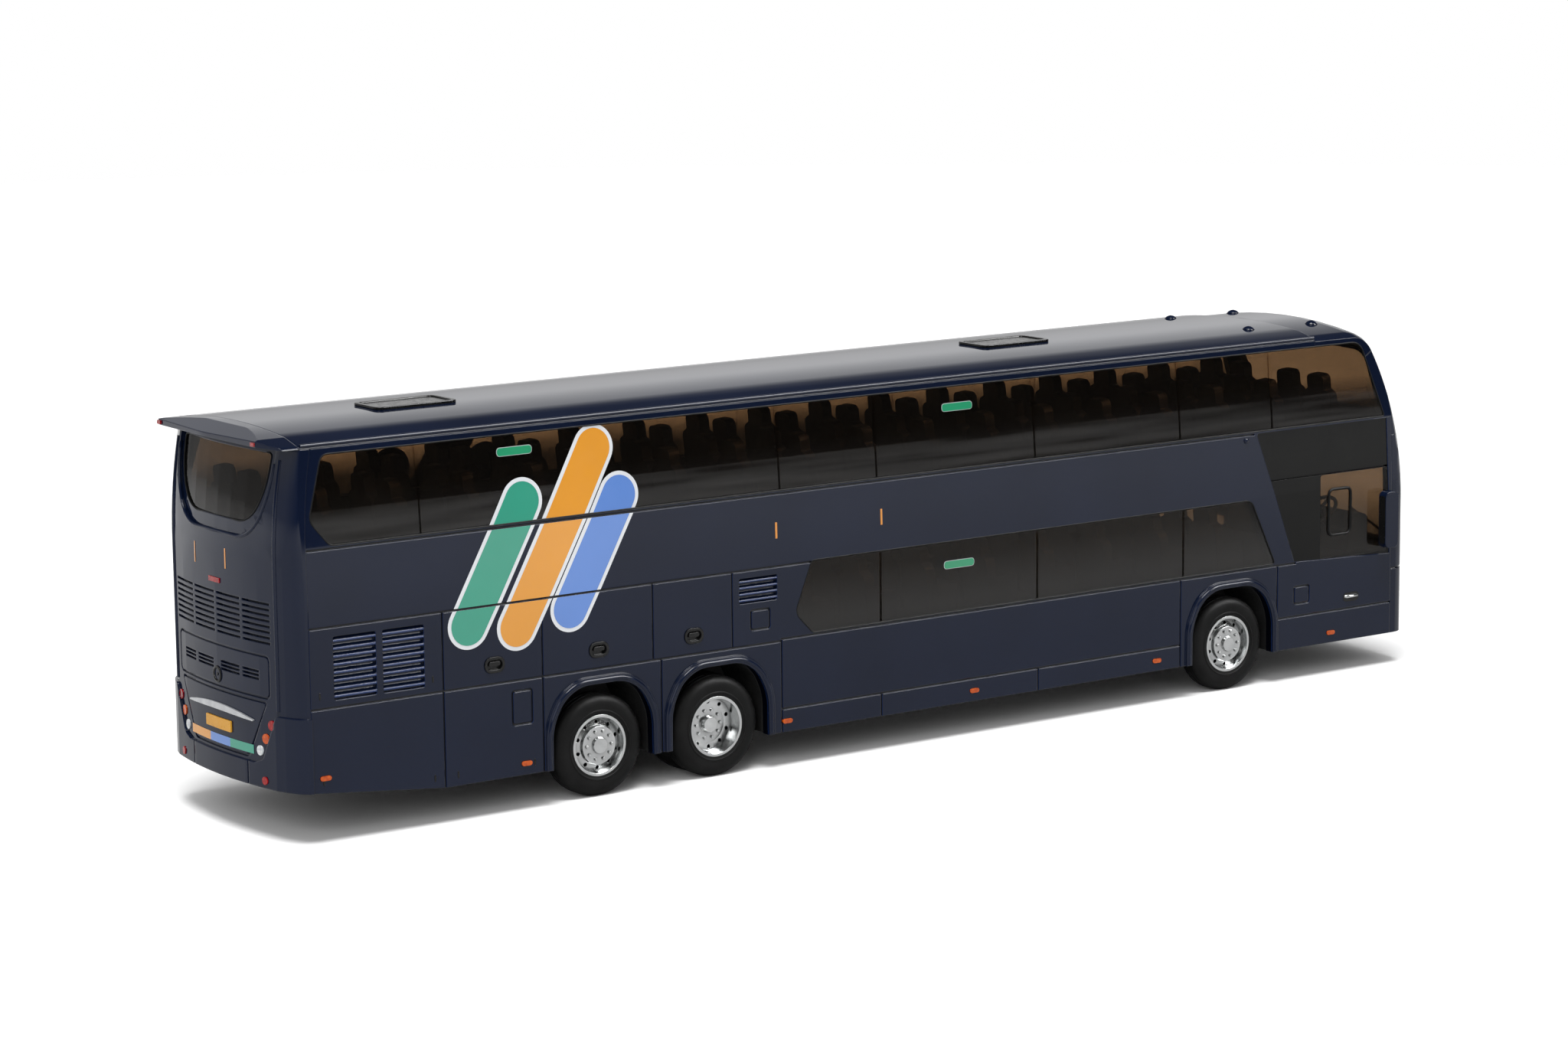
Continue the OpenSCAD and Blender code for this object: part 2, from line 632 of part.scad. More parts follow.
// Round lamps on each side: [y, z] for red, amber and clear
lamp_places = [[tail_w - 1, lower_sill_z - 2.8], [tail_w - 2.2, lower_sill_z - 4.6], [tail_w - 3.4, lower_sill_z - 6.2]];
lamp_r = 0.62;
lamp_proud = 0.15;

module tail_cut(depth) {
    difference() {
        children();
        tail(depth);
    }
}
module through_tail(outline) {
    along_x(outline, -far, tail_front_x);
}
module tail_box(y0, y1, z0, z1) {
    translate([-far, y0, z0]) cube([far + tail_front_x, y1 - y0, z1 - z0]);
}
module lamp_holes(k) {
    both_sides() translate([-far, lamp_places[k][0], lamp_places[k][1]]) rotate([0, 90, 0])
        cylinder(r = lamp_r, h = far + tail_front_x);
}
module rear_gaps() {
    g = groove_w;
    difference() {
        through_tail(box_outline(engine_door[0], engine_door[1], engine_door[2], engine_door[3], 0.8));
        through_tail(box_outline(engine_door[0] + g, engine_door[1] - g, engine_door[2] + g, engine_door[3] - g, 0.6));
    }
    difference() {
        through_tail(hatch_outline(0));
        through_tail(hatch_outline(g));
    }
    both_sides() tail_box(bumper_seam_y, bumper_seam_y + g, tail_low_z - 1, bumper_z);
}
module rear_louvres() {
    bay = (rear_grille[1] - rear_grille[0]) / grille_bays;
    pitch = (rear_grille[3] - rear_grille[2]) / grille_slats;
    for (b = [0:grille_bays - 1]) for (k = [0:grille_slats - 1])
        let (y = rear_grille[0] + bay * b, z = rear_grille[2] + pitch * k)
        tail_box(y + bay_bar / 2, y + bay - bay_bar / 2, z + 0.12, z + pitch * 0.58);
    slit = (engine_slot_z[1] - engine_slot_z[0]) / engine_slits;
    both_sides() for (s = engine_slots) for (k = [0:engine_slits - 1])
        let (z = engine_slot_z[0] + slit * k, w = engine_door[1])
        tail_box(w * s[0], w * s[1], z, z + slit * 0.6);
}
module rear_panel() {
    color(paint) difference() {
        intersection() {
            union() {
                tail_skin(0, wall);
                intersection() {
                    tail_skin(-bumper_t, bumper_t + wall / 2);
                    through_tail(bumper_outline);
                }
            }
            along_y(tail_region, -far, far);
            tail_box(-far, far, tail_low_z, tail_top_z);
        }
        through_tail(rear_glass);
        tail_cut(surround_d) through_tail(rear_surround);
        tail_cut(groove_d) rear_gaps();
        tail_cut(louvre_d) rear_louvres();
        for (k = [0:2]) lamp_holes(k);
    }
}
module rear_window() {
    color(tint) intersection() {
        tail_skin(surround_d + glass_recess, glass_t - surround_d);
        through_tail(rear_glass);
    }
}

// Spoiler over the rear window: a cap on the tail and a thin drooping lip between lip_y each side
lip_y = tail_w - 0.2;
lip_t = 0.5;
spoiler_tip_x = rear_x - spoiler_reach;
lip_z = roof_h - 1.1;
spoiler_profile = rounded([[rear_seam_x, tail_top_z, 0], [rear_seam_x, roof_h, 0], [rear_seam_x - 1.4, roof_h - 0.12, 0],
    [spoiler_tip_x, lip_z + 0.2, 0.1], [spoiler_tip_x, lip_z + 0.2 - lip_t, 0.1], [rear_x + 1.7, tail_top_z, 0.8]], 4);
spoiler_plan = rounded([[rear_seam_x, -half_w, 0], [rear_x + 1.7, -half_w + 1, 1.2], [rear_x - 0.5, -lip_y, 0.2],
    [spoiler_tip_x, 0, 30], [rear_x - 0.5, lip_y, 0.2], [rear_x + 1.7, half_w - 1, 1.2], [rear_seam_x, half_w, 0]], 4);
module rear_spoiler() {
    color(paint) intersection() {
        along_y(spoiler_profile, -half_w, half_w);
        section_prism(0, -far, rear_seam_x);
        linear_extrude(far) polygon(spoiler_plan);
    }
}

module lamp_row(k) {
    intersection() {
        tail_skin(-lamp_proud, wall);
        lamp_holes(k);
    }
}
// Red lamps also stand at the ends of the spoiler's lip, over the grille and in the bumper
stop_lamp = [-1.35, 1.35, lower_head_z + 3.7, lower_head_z + 4.3];
reflector = [tail_w - 2.2, tail_low_z + 0.95, 0.5];
end_lamp = [1, 0.8, 0.45];
module tail_lamps_red() {
    color("#c01c20") {
        lamp_row(0);
        intersection() {
            tail_skin(-lamp_proud, lamp_proud);
            tail_box(stop_lamp[0], stop_lamp[1], stop_lamp[2], stop_lamp[3]);
        }
        intersection() {
            tail_skin(-bumper_t - lamp_proud, lamp_proud);
            both_sides() translate([-far, reflector[0], reflector[1]]) rotate([0, 90, 0])
                cylinder(r = reflector[2], h = far + rear_seam_x);
        }
        both_sides() difference() {
            translate([rear_x - 0.75, lip_y - 0.9, lip_z - 0.25]) cube(end_lamp);
            rear_spoiler();
        }
    }
}
module tail_lamps_amber() {
    color("#e8641c") lamp_row(1);
}
module tail_lamps_clear() {
    color("#dfe3e6") lamp_row(2);
}
bar_t = 0.25;
module rear_trim_bar() {
    z = lower_sill_z - 2.8;
    color("#c8ccd0") intersection() {
        tail_skin(-bar_t, bar_t);
        through_tail(rounded([[-tail_w + 3.4, z, 0.1], [0, z + 1.8, 40], [tail_w - 3.4, z, 0.1], [0, z + 0.3, 120]], 8));
    }
}
plate_t = 0.2;
module rear_plate() {
    color("#e0a020") intersection() {
        tail_skin(-plate_t, plate_t);
        through_tail(box_outline(-3.2, 3.2, lower_sill_z - 5, lower_sill_z - 3.6, 0.1));
    }
}

// Side glazing
module side_glass(left, outline, panes) {
    color(tint) on_side(left) difference() {
        intersection() {
            side_wall(glass_recess, glass_t);
            through_side(outline);
        }
        for (x = panes) translate([x - pane_gap / 2, 0, 0]) along_x(
            wall_strip(glass_recess - 1, 1 + groove_d, skirt_z, cant_z), 0, pane_gap);
    }
}
module cab_panel(left) {
    color(black) on_side(left) difference() {
        intersection() {
            side_wall(glass_recess, glass_t);
            through_side(left ? cab_outline_left : cab_outline_right);
        }
        if (!left) through_side(driver_outline);
        side_gap([cab_rear_top_x, cab_line_z + 0.2, front_seam_x, cab_line_z + 0.2]);
    }
}
module driver_window() {
    color(tint) difference() {
        intersection() {
            side_wall(glass_recess, glass_t);
            through_side(driver_outline);
            through_side(cab_outline_right);
        }
        flap_gap(driver_flaps[1]);
    }
}

// Entrance door, flush in the left side
module entrance_door() {
    color(paint) on_side(true) difference() {
        intersection() {
            side_wall(glass_recess, wall - glass_recess);
            through_side(door_outline);
        }
        through_side(door_glass_outline);
    }
}
module door_glass() {
    mid_x = (door_x[0] + door_x[1]) / 2;
    color(tint) on_side(true) difference() {
        intersection() {
            side_wall(2 * glass_recess, glass_t);
            through_side(door_glass_outline);
        }
        side_gap([mid_x, 0, mid_x, cab_line_z]);
    }
}

// Chassis: base plate, arch liners, bearing blocks and plinth screw bosses
chassis_y = half_w - wall - inner_gap;
plate_z = base_z + block_h;
well_inner = half_w - 9;
bearing_y = [well_inner - 2.6, well_inner - 0.4];
bearing_l = 4.4;
liner_t = 0.6;
boss_r = screw_r + 1.3;
screw_xs = [-screw_rear, screw_pitch - screw_rear];
// Plan of the space inside the body, g in from the outer skin
function inner_plan(g) = let (rear = rear_plan(g), n = len(rear))
    concat([for (q = front_plan(g)) [front_x - q[0], q[1]]],
        [for (k = [n - 1:-1:0]) [rear_x + rear[k][0], rear[k][1]]]);
plate_profile = [[-far, tail_low_z], [rear_locker_x, tail_low_z], [rear_locker_x, plate_z], [far, plate_z],
    [far, plate_z + base_t], [rear_locker_x + base_t, plate_z + base_t],
    [rear_locker_x + base_t, tail_low_z + base_t], [-far, tail_low_z + base_t]];
module base_plate() {
    intersection() {
        along_y(plate_profile, -half_w, half_w);
        linear_extrude(far) polygon(inner_plan(wall + inner_gap));
    }
    for (x = screw_xs) translate([x, 0, plate_z + base_t / 2]) cylinder(r = boss_r, h = base_t / 2 + 3);
}
module chassis() {
    color(black) difference() {
        union() {
            base_plate();
            for (x = axles) both_sides() difference() {
                along_y(arch(x, liner_t), -chassis_y, -well_inner + liner_t);
                below(plate_z + base_t / 2);
            }
            for (x = axles) both_sides() translate([x - bearing_l / 2, bearing_y[0], base_z])
                cube([bearing_l, bearing_y[1] - bearing_y[0], axle_z + pin_d - base_z]);
        }
        for (x = axles) both_sides() along_y(arch(x, 0), -far, -well_inner);
        for (x = axles) translate([x, -far, axle_z]) rotate([-90, 0, 0])
            cylinder(d = pin_d + 2 * pin_play, h = 2 * far);
        for (x = screw_xs) translate([x, 0, -1]) cylinder(r = screw_r, h = far);
    }
}

// The lower deck lies on the arch liners
seat_gap = 0.2;
lower_floor_z = arch_top_z + liner_t + seat_gap + floor_t;
upper_floor_z = upper_sill_z - floor_drop;
floor_x = [rear_seam_x + 2, front_seam_x - 0.7];

// Seat of height h, facing forward: a cushion and a raked back with round shoulders and a headrest
seat_rake = 6;
back_t = 1.5;
seat_sunk = 0.4;
cushion = [4.6, 4.4];
function seat_back(h) = rounded([[-seat_w / 2, -seat_sunk, 0], [seat_w / 2, -seat_sunk, 0], [seat_w / 2, h - 2.6, 1.1],
    [seat_w * 0.3, h - 2.2, 0.3], [seat_w * 0.3, h, 0.8], [-seat_w * 0.3, h, 0.8], [-seat_w * 0.3, h - 2.2, 0.3],
    [-seat_w / 2, h - 2.6, 1.1]], 3);
module seat(x, y, z, h) {
    translate([x, y, z]) {
        translate([0, -seat_w / 2, -seat_sunk]) cube([cushion[0], seat_w, cushion[1]]);
        rotate([0, -seat_rake, 0]) along_x(seat_back(h), 0, back_t);
    }
}
seat_ys = [-half_w + 5.2, -half_w + 11.6, half_w - 11.6, half_w - 5.2];
module deck(z, y_max, rows, first_x, h) {
    translate([floor_x[0], -y_max, z - floor_t]) cube([floor_x[1] - floor_x[0], 2 * y_max, floor_t]);
    for (k = [0:rows - 1]) for (y = seat_ys) seat(first_x + seat_pitch * k, y, z, h);
}
lower_seat_h = lower_head_z - lower_floor_z - 1.1;
upper_seat_h = upper_head_z - upper_floor_z - 4.6;
lower_rows = floor((floor_x[1] - 18 - lower_rear_x) / seat_pitch);
upper_rows = floor((floor_x[1] - 6 - floor_x[0]) / seat_pitch);
module lower_deck() {
    color("#1c1a1a") deck(lower_floor_z, chassis_y, lower_rows, lower_rear_x + 0.7, lower_seat_h);
}
module upper_deck() {
    color("#1c1a1a") deck(upper_floor_z, side_y(upper_floor_z, wall + inner_gap), upper_rows,
        floor_x[0] + 2.7, upper_seat_h);
}
driver_y = -half_w + 8.4;
module driver_seat() {
    color("#1c1a1a") seat(cab_pillar_x - 0.6, driver_y, lower_floor_z + seat_sunk, lower_seat_h - seat_sunk);
}
dash_x = front_seam_x - 5.1;
dash_profile = rounded([[dash_x, 0, 0], [dash_x + 4, 0, 0], [dash_x + 4, 5, 0.8], [dash_x + 2, 5.6, 0.8],
    [dash_x + 0.4, 3.4, 0.6]], 4);
module dashboard() {
    color("#2a2422") translate([0, 0, lower_floor_z]) along_y(dash_profile, -half_w + 3.8, half_w - 3.8);
}
// Steering wheel on a raked column that ends on the dashboard
steer_r = 2.7;
steer_tilt = 38;
module steering_wheel() {
    color(black) difference() {
        translate([dash_x - 1.2, driver_y, lower_floor_z + 5.6]) rotate([0, -steer_tilt, 0]) {
            rotate_extrude() translate([steer_r, 0]) circle(r = 0.28);
            for (k = [0:2]) rotate([0, 0, 120 * k]) translate([0, -0.25, -0.15]) cube([steer_r, 0.5, 0.3]);
            cylinder(r = 0.6, h = 0.4, center = true);
            translate([0, 0, -5]) cylinder(r = 0.4, h = 5);
        }
        dashboard();
        below(lower_floor_z);
    }
}

// Roof fittings
hatch_size = [11.8, 6.4, 0.32];
hatch_rim = 0.6;
hatch_xs = [-65, 30.4];
module roof_hatches() {
    l = hatch_size[0] / 2;
    w = hatch_size[1] / 2;
    color(black) for (x = hatch_xs) difference() {
        translate([x, 0, eave_z]) linear_extrude(roof_h + hatch_size[2] - eave_z) polygon(box_outline(-l, l, -w, w, 1));
        translate([x, 0, roof_h + hatch_size[2] / 2]) linear_extrude(1)
            polygon(box_outline(-l + hatch_rim, l - hatch_rim, -w + hatch_rim, w - hatch_rim, 0.6));
        section_prism(0, x - hatch_size[0], x + hatch_size[0]);
    }
}
knob_r = 1.1;
knob_y = half_w - 8.4;
module roof_domes() {
    color(paint) {
        both_sides() difference() {
            translate([dome_seam_x - 6.2, knob_y, eave_z - 0.3]) sphere(r = knob_r);
            section_prism(0, dome_seam_x - 12, dome_seam_x);
        }
        both_sides() difference() {
            translate([dome_x - 1.4, knob_y, eave_z - 0.4]) sphere(r = knob_r);
            along_x([for (q = front_plan(0)) [q[1], dome_z + dome_r - q[0]]], dome_seam_x, dome_x);
        }
    }
}

// Mirrors: an upright housing on a short foot, clear of the cab glazing
mirror_size = [2.5, 1.5, 8.2];
mirror_gap = 0.35;
mirror_z = cab_sill_z + 0.4;
module mirror_arm(left) {
    foot = mirror_gap + 0.1 + (left ? 0 : glass_recess);
    color(paint) on_side(left) translate([front_seam_x - 0.3 - mirror_size[0], -half_w - mirror_gap - mirror_size[1], 0]) {
        along_y(box_outline(0, mirror_size[0], mirror_z, mirror_z + mirror_size[2], 0.8), 0, mirror_size[1]);
        translate([mirror_size[0] - 0.9, mirror_size[1] - 0.1, mirror_z + 0.6]) cube([0.6, foot, 1]);
    }
}

module marker_lamps() {
    color("#e8641c") both_sides() for (m = marker_places)
        along_y(marker_outline(m), half_w - 0.38, half_w + 0.12);
}
module locker_handles() {
    color(black) both_sides() for (h = handle_places) {
        difference() {
            along_y(handle_outline(h), half_w - handle_d, half_w + 0.15);
            along_y(handle_outline(h, 0.35), half_w - handle_d + 0.15, half_w + 1);
        }
        along_y(box_outline(h[0] - 0.8, h[0] + 0.8, h[1] - 0.15, h[1] + 0.4, 0.2), half_w - handle_d, half_w + 0.1);
    }
}

// Wheels
tyre_y = half_w - tyre_inset;
rim_r = rim_d / 2;
tyre_profile = rounded([[rim_r, 0.15, 0], [axle_z - 0.9, 0, 0.6], [axle_z, 0.7, 0.5],
    [axle_z, tyre_w - 0.7, 0.5], [axle_z - 0.9, tyre_w, 0.6], [rim_r, tyre_w - 0.15, 0]], 4);
module tyre(y) {
    translate([0, y, 0]) rotate([-90, 0, 0]) rotate_extrude($fn = 96) polygon(tyre_profile);
}
module at_axle(x) {
    translate([x, 0, axle_z]) children();
}
module axle_pin(x, sunk) {
    reach = tyre_y - sunk;
    color("#9a9ea2") at_axle(x) translate([0, -reach, 0]) rotate([-90, 0, 0]) cylinder(d = pin_d, h = 2 * reach);
}
// Rim sections as [radius, depth behind the tyre's face], with the pin's seat at pin_depth
rim_depth = 3;
raised_pin_depth = 1;
sunk_pin_depth = 2.3;
hub_r = 2.45;
cap_r = pin_d / 2;
raised_rim = [[cap_r, rim_depth], [rim_r, rim_depth], [rim_r, 0.1], [rim_r - 0.35, 0.1], [rim_r - 0.6, 0.95],
    [hub_r + 0.1, 0.75], [hub_r, 0.25], [cap_r + 0.1, 0.2], [cap_r, -0.15], [0, -0.15], [0, raised_pin_depth],
    [cap_r, raised_pin_depth]];
sunk_rim = [[cap_r, rim_depth], [rim_r, rim_depth], [rim_r, 0.1], [rim_r - 0.35, 0.1], [rim_r - 0.55, 2],
    [hub_r, 2.1], [cap_r + 0.1, 2.1], [cap_r, 1.4], [0, 1.4], [0, sunk_pin_depth], [cap_r, sunk_pin_depth]];
hub_nuts = 10;
nut_circle_r = 1.85;
hand_hole_r = 0.26;
module rim(profile, face, web) {
    rotate([90, 0, 0]) {
        difference() {
            rotate_extrude($fn = 64) polygon([for (p = profile) [p[0], -p[1]]]);
            for (k = [0:hub_nuts - 1]) rotate([0, 0, 360 * (k + 0.5) / hub_nuts])
                translate([(rim_r - 0.5 + hub_r) / 2, 0, -web - 0.6]) cylinder(r = hand_hole_r, h = 2);
        }
        for (k = [0:hub_nuts - 1]) rotate([0, 0, 360 * k / hub_nuts])
            translate([nut_circle_r, 0, -face - 0.05]) cylinder(r = 0.2, h = 0.27, $fn = 6);
    }
}
module rims(x, profile, face, web) {
    color("#c4c8cc") at_axle(x) both_sides() translate([0, -tyre_y, 0]) rim(profile, face, web);
}
module single_tyres(x) {
    color(black) at_axle(x) both_sides() tyre(-tyre_y);
}
module twin_tyres(x) {
    single_tyres(x);
    color(black) at_axle(x) both_sides() tyre(-tyre_y + tyre_w + twin_gap);
}

body_side(false);  // body_side_right
body_side(true);  // body_side_left
roof();
front_lower();
front_upper();
front_dome();
rear_panel();
rear_spoiler();
side_glass(false, upper_window, upper_panes);  // upper_glass_right
side_glass(true, upper_window, upper_panes);  // upper_glass_left
side_glass(false, lower_window, lower_panes);  // lower_glass_right
side_glass(true, lower_window, lower_panes);  // lower_glass_left
cab_panel(false);  // cab_panel_right
cab_panel(true);  // cab_panel_left
driver_window();
entrance_door();
door_glass();
windscreen_lower();
windscreen_upper();
rear_window();
chassis();
lower_deck();
upper_deck();
driver_seat();
dashboard();
steering_wheel();
roof_hatches();
roof_domes();
mirror_arm(false);  // mirror_right
mirror_arm(true);  // mirror_left
headlamps();
tail_lamps_red();
tail_lamps_amber();
tail_lamps_clear();
marker_lamps();
locker_handles();
rear_trim_bar();
rear_plate();
wipers();
axle_pin(front_axle_x, raised_pin_depth);  // front_axle
rims(front_axle_x, raised_rim, 0.22, 0.85);  // front_rims
single_tyres(front_axle_x);  // front_tyres
axle_pin(drive_axle_x, sunk_pin_depth);  // drive_axle
rims(drive_axle_x, sunk_rim, 2.1, 2.05);  // drive_rims
twin_tyres(drive_axle_x);  // drive_tyres
axle_pin(tag_axle_x, raised_pin_depth);  // tag_axle
rims(tag_axle_x, raised_rim, 0.22, 0.85);  // tag_rims
single_tyres(tag_axle_x);  // tag_tyres
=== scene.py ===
import json
import math

import bmesh
import bpy
from mathutils import Matrix, Vector


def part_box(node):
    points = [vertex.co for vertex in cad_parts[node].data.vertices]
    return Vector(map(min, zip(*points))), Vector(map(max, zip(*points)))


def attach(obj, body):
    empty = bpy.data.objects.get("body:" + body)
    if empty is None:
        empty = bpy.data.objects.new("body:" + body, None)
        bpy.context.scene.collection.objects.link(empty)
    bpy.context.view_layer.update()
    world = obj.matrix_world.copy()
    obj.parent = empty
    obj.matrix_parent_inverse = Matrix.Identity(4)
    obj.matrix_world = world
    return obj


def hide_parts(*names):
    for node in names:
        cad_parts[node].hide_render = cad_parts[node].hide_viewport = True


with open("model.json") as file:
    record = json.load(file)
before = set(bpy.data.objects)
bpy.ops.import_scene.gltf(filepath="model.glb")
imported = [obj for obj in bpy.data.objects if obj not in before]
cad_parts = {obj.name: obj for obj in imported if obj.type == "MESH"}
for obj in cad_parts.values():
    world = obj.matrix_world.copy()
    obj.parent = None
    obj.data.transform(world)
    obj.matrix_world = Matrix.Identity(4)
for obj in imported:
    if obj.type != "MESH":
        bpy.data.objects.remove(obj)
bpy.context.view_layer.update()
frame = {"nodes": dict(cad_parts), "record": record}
scene = bpy.context.scene
scene.view_settings.view_transform = "Standard"
mm = 0.001
print("frame:", len(frame["nodes"]), "nodes")

# camera at the photograph's viewpoint
camera = {"place": (-319.12, -440.78, 120.45), "azimuth": -35.29, "elevation": 9.64, "roll": -0.58,
          "lens": 93.84, "sensor": 36}


def addCamera(c):
    az, el, roll = (math.radians(c[k]) for k in ("azimuth", "elevation", "roll"))
    back = Vector((math.sin(az) * math.cos(el), -math.cos(az) * math.cos(el), math.sin(el)))
    right = Vector((math.cos(az), math.sin(az), 0))
    up = back.cross(right)
    tiltRight = right * math.cos(roll) + up * math.sin(roll)
    tiltUp = up * math.cos(roll) - right * math.sin(roll)
    data = bpy.data.cameras.new("photoView")
    data.lens = c["lens"]
    data.sensor_width = c["sensor"]
    data.clip_start = 0.01
    obj = bpy.data.objects.new("photoView", data)
    turn = Matrix((tiltRight, tiltUp, back)).transposed().to_4x4()
    obj.matrix_world = Matrix.Translation(Vector(c["place"]) * mm) @ turn
    scene.collection.objects.link(obj)
    scene.camera = obj


addCamera(camera)


# shader node helpers, for the materials and the room
class Nodes:
    def __init__(self, tree):
        self.nodes = tree.nodes
        self.links = tree.links

    def node(self, kind, **values):
        n = self.nodes.new("ShaderNode" + kind)
        for key, value in values.items():
            setattr(n, key, value)
        return n

    def feed(self, value, socket):  # a link or a constant
        if isinstance(value, bpy.types.NodeSocket):
            self.links.new(value, socket)
        else:
            socket.default_value = value

    def xyz(self, vector):
        n = self.node("SeparateXYZ")
        self.links.new(vector, n.inputs["Vector"])
        return n.outputs

    def span(self, value, low, high, fromLow=0.3, fromHigh=0.7):
        n = self.node("MapRange")
        self.links.new(value, n.inputs["Value"])
        for key, v in (("From Min", fromLow), ("From Max", fromHigh), ("To Min", low), ("To Max", high)):
            n.inputs[key].default_value = v
        return n.outputs["Result"]

    def math(self, kind, a, b=0.0):
        n = self.node("Math", operation=kind)
        self.feed(a, n.inputs[0])
        self.feed(b, n.inputs[1])
        return n.outputs["Value"]

    def blend(self, amount, first, second):
        n = self.node("MixShader")
        for value, socket in zip((amount, first, second), n.inputs):
            self.links.new(value, socket)
        return n.outputs["Shader"]


class Finish(Nodes):
    def __init__(self, name):
        self.mat = bpy.data.materials.new(name)
        self.mat.use_nodes = True
        super().__init__(self.mat.node_tree)
        self.bsdf = self.nodes["Principled BSDF"]
        self.place = self.node("TexCoord").outputs["Object"]

    def put(self, **values):
        for key, value in values.items():
            self.bsdf.inputs[key.replace("_", " ")].default_value = value
        return self

    def join(self, out, socket):
        self.links.new(out, self.bsdf.inputs[socket])
        return self

    def noise(self, scale, detail=3.0, stretch=(1, 1, 1)):
        n = self.node("TexNoise")
        n.inputs["Scale"].default_value = scale
        n.inputs["Detail"].default_value = detail
        m = self.node("Mapping")
        m.inputs["Scale"].default_value = stretch
        self.links.new(self.place, m.inputs["Vector"])
        self.links.new(m.outputs["Vector"], n.inputs["Vector"])
        return n.outputs["Fac"]

    def ramp(self, value, *stops):
        n = self.node("ValToRGB")
        for element, (at, colour) in zip(n.color_ramp.elements, stops):
            element.position = at
            element.color = (*colour, 1)
        self.links.new(value, n.inputs["Fac"])
        return n.outputs["Color"]

    def mixColour(self, amount, a, b):
        n = self.node("Mix", data_type="RGBA")
        self.links.new(amount, n.inputs["Factor"])
        for key, v in (("A", a), ("B", b)):
            socket = [s for s in n.inputs if s.name == key and s.type == "RGBA"][0]
            self.feed((*v, 1) if isinstance(v, tuple) else v, socket)
        return [s for s in n.outputs if s.type == "RGBA"][0]

    def bump(self, value, strength, distance, edge=0.0):
        n = self.node("Bump")
        n.inputs["Strength"].default_value = strength
        n.inputs["Distance"].default_value = distance
        self.links.new(value, n.inputs["Height"])
        if edge:
            b = self.node("Bevel", samples=4)
            b.inputs["Radius"].default_value = edge
            self.links.new(b.outputs["Normal"], n.inputs["Normal"])
        self.links.new(n.outputs["Normal"], self.bsdf.inputs["Normal"])
        return self


# the sides' outer skin: upright to the waist, then leaning in twice
wall = {"half": 16.8, "waist": 27.0, "belt": 36.4, "eaves": 48.2, "waistLean": 0.3, "beltLean": 0.9}

# gloss paint: one deep blue coat with a faint orange peel; depths are below the skin; rim is a lighter blue
# on the gaps' rounded edges, partly thin paint and partly a painted highlight
paintLook = {"deep": (0.0032, 0.0066, 0.0205), "light": (0.0050, 0.0094, 0.0275), "mottle": 60,
             "gap": (0.0008, 0.0012, 0.0036), "rim": (0.0120, 0.0300, 0.1150), "rough": (0.04, 0.065),
             "roughScale": 900, "gapRough": 0.25, "gloss": 0.29, "peel": (2600, 0.02, 0.02), "edge": 0.2,
             "gapDepth": (0.11, 0.2), "rimFrom": (0.004, 0.03), "rimTo": (0.06, 0.12)}
louvreZones = ((-79.2, 21.5, 6.8, 4.3), (-23.2, 23.9, 3.2, 1.9))  # x, z and half sizes of the louvres


def belowSkin(f, xyz):
    leanA = f.span(xyz["Z"], 0.0, wall["waistLean"] * mm, wall["waist"] * mm, wall["belt"] * mm)
    leanB = f.span(xyz["Z"], 0.0, wall["beltLean"] * mm, wall["belt"] * mm, wall["eaves"] * mm)
    skin = f.math("SUBTRACT", wall["half"] * mm, f.math("ADD", leanA, leanB))
    return f.math("SUBTRACT", skin, f.math("ABSOLUTE", xyz["Y"]))


def paintFinish(name, gaps):
    f = Finish(name)
    look = paintLook
    colour = f.ramp(f.noise(look["mottle"], 2), (0.3, look["deep"]), (0.75, look["light"]))
    rough = f.span(f.noise(look["roughScale"], 2), *look["rough"])
    if gaps:  # the panel gaps are darker than the skin
        xyz = f.xyz(f.place)
        depth = belowSkin(f, xyz)
        inGap = f.span(depth, 0.0, 1.0, *(d * mm for d in look["gapDepth"]))
        for x, z, halfX, halfZ in louvreZones:
            offX = f.math("ABSOLUTE", f.math("SUBTRACT", xyz["X"], x * mm))
            offZ = f.math("ABSOLUTE", f.math("SUBTRACT", xyz["Z"], z * mm))
            pastX = f.math("GREATER_THAN", offX, halfX * mm)
            pastZ = f.math("GREATER_THAN", offZ, halfZ * mm)
            inGap = f.math("MULTIPLY", inGap, f.math("MAXIMUM", pastX, pastZ))
        rise = f.span(depth, 0.0, 1.0, *(d * mm for d in look["rimFrom"]))
        fall = f.span(depth, 1.0, 0.0, *(d * mm for d in look["rimTo"]))
        rimThinPaintAndHighlight = f.math("MULTIPLY", rise, fall)
        colour = f.mixColour(rimThinPaintAndHighlight, colour, look["rim"])  # lighter blue on the rounded rims: partly thin paint, partly a painted highlight
        colour = f.mixColour(inGap, colour, look["gap"])
        rough = f.math("ADD", rough, f.math("MULTIPLY", inGap, look["gapRough"]))
    f.join(colour, "Base Color").join(rough, "Roughness")
    f.put(Specular_IOR_Level=look["gloss"])
    scale, strength, height = look["peel"]
    return f.bump(f.noise(scale, 2), strength, height * mm, look["edge"] * mm).mat


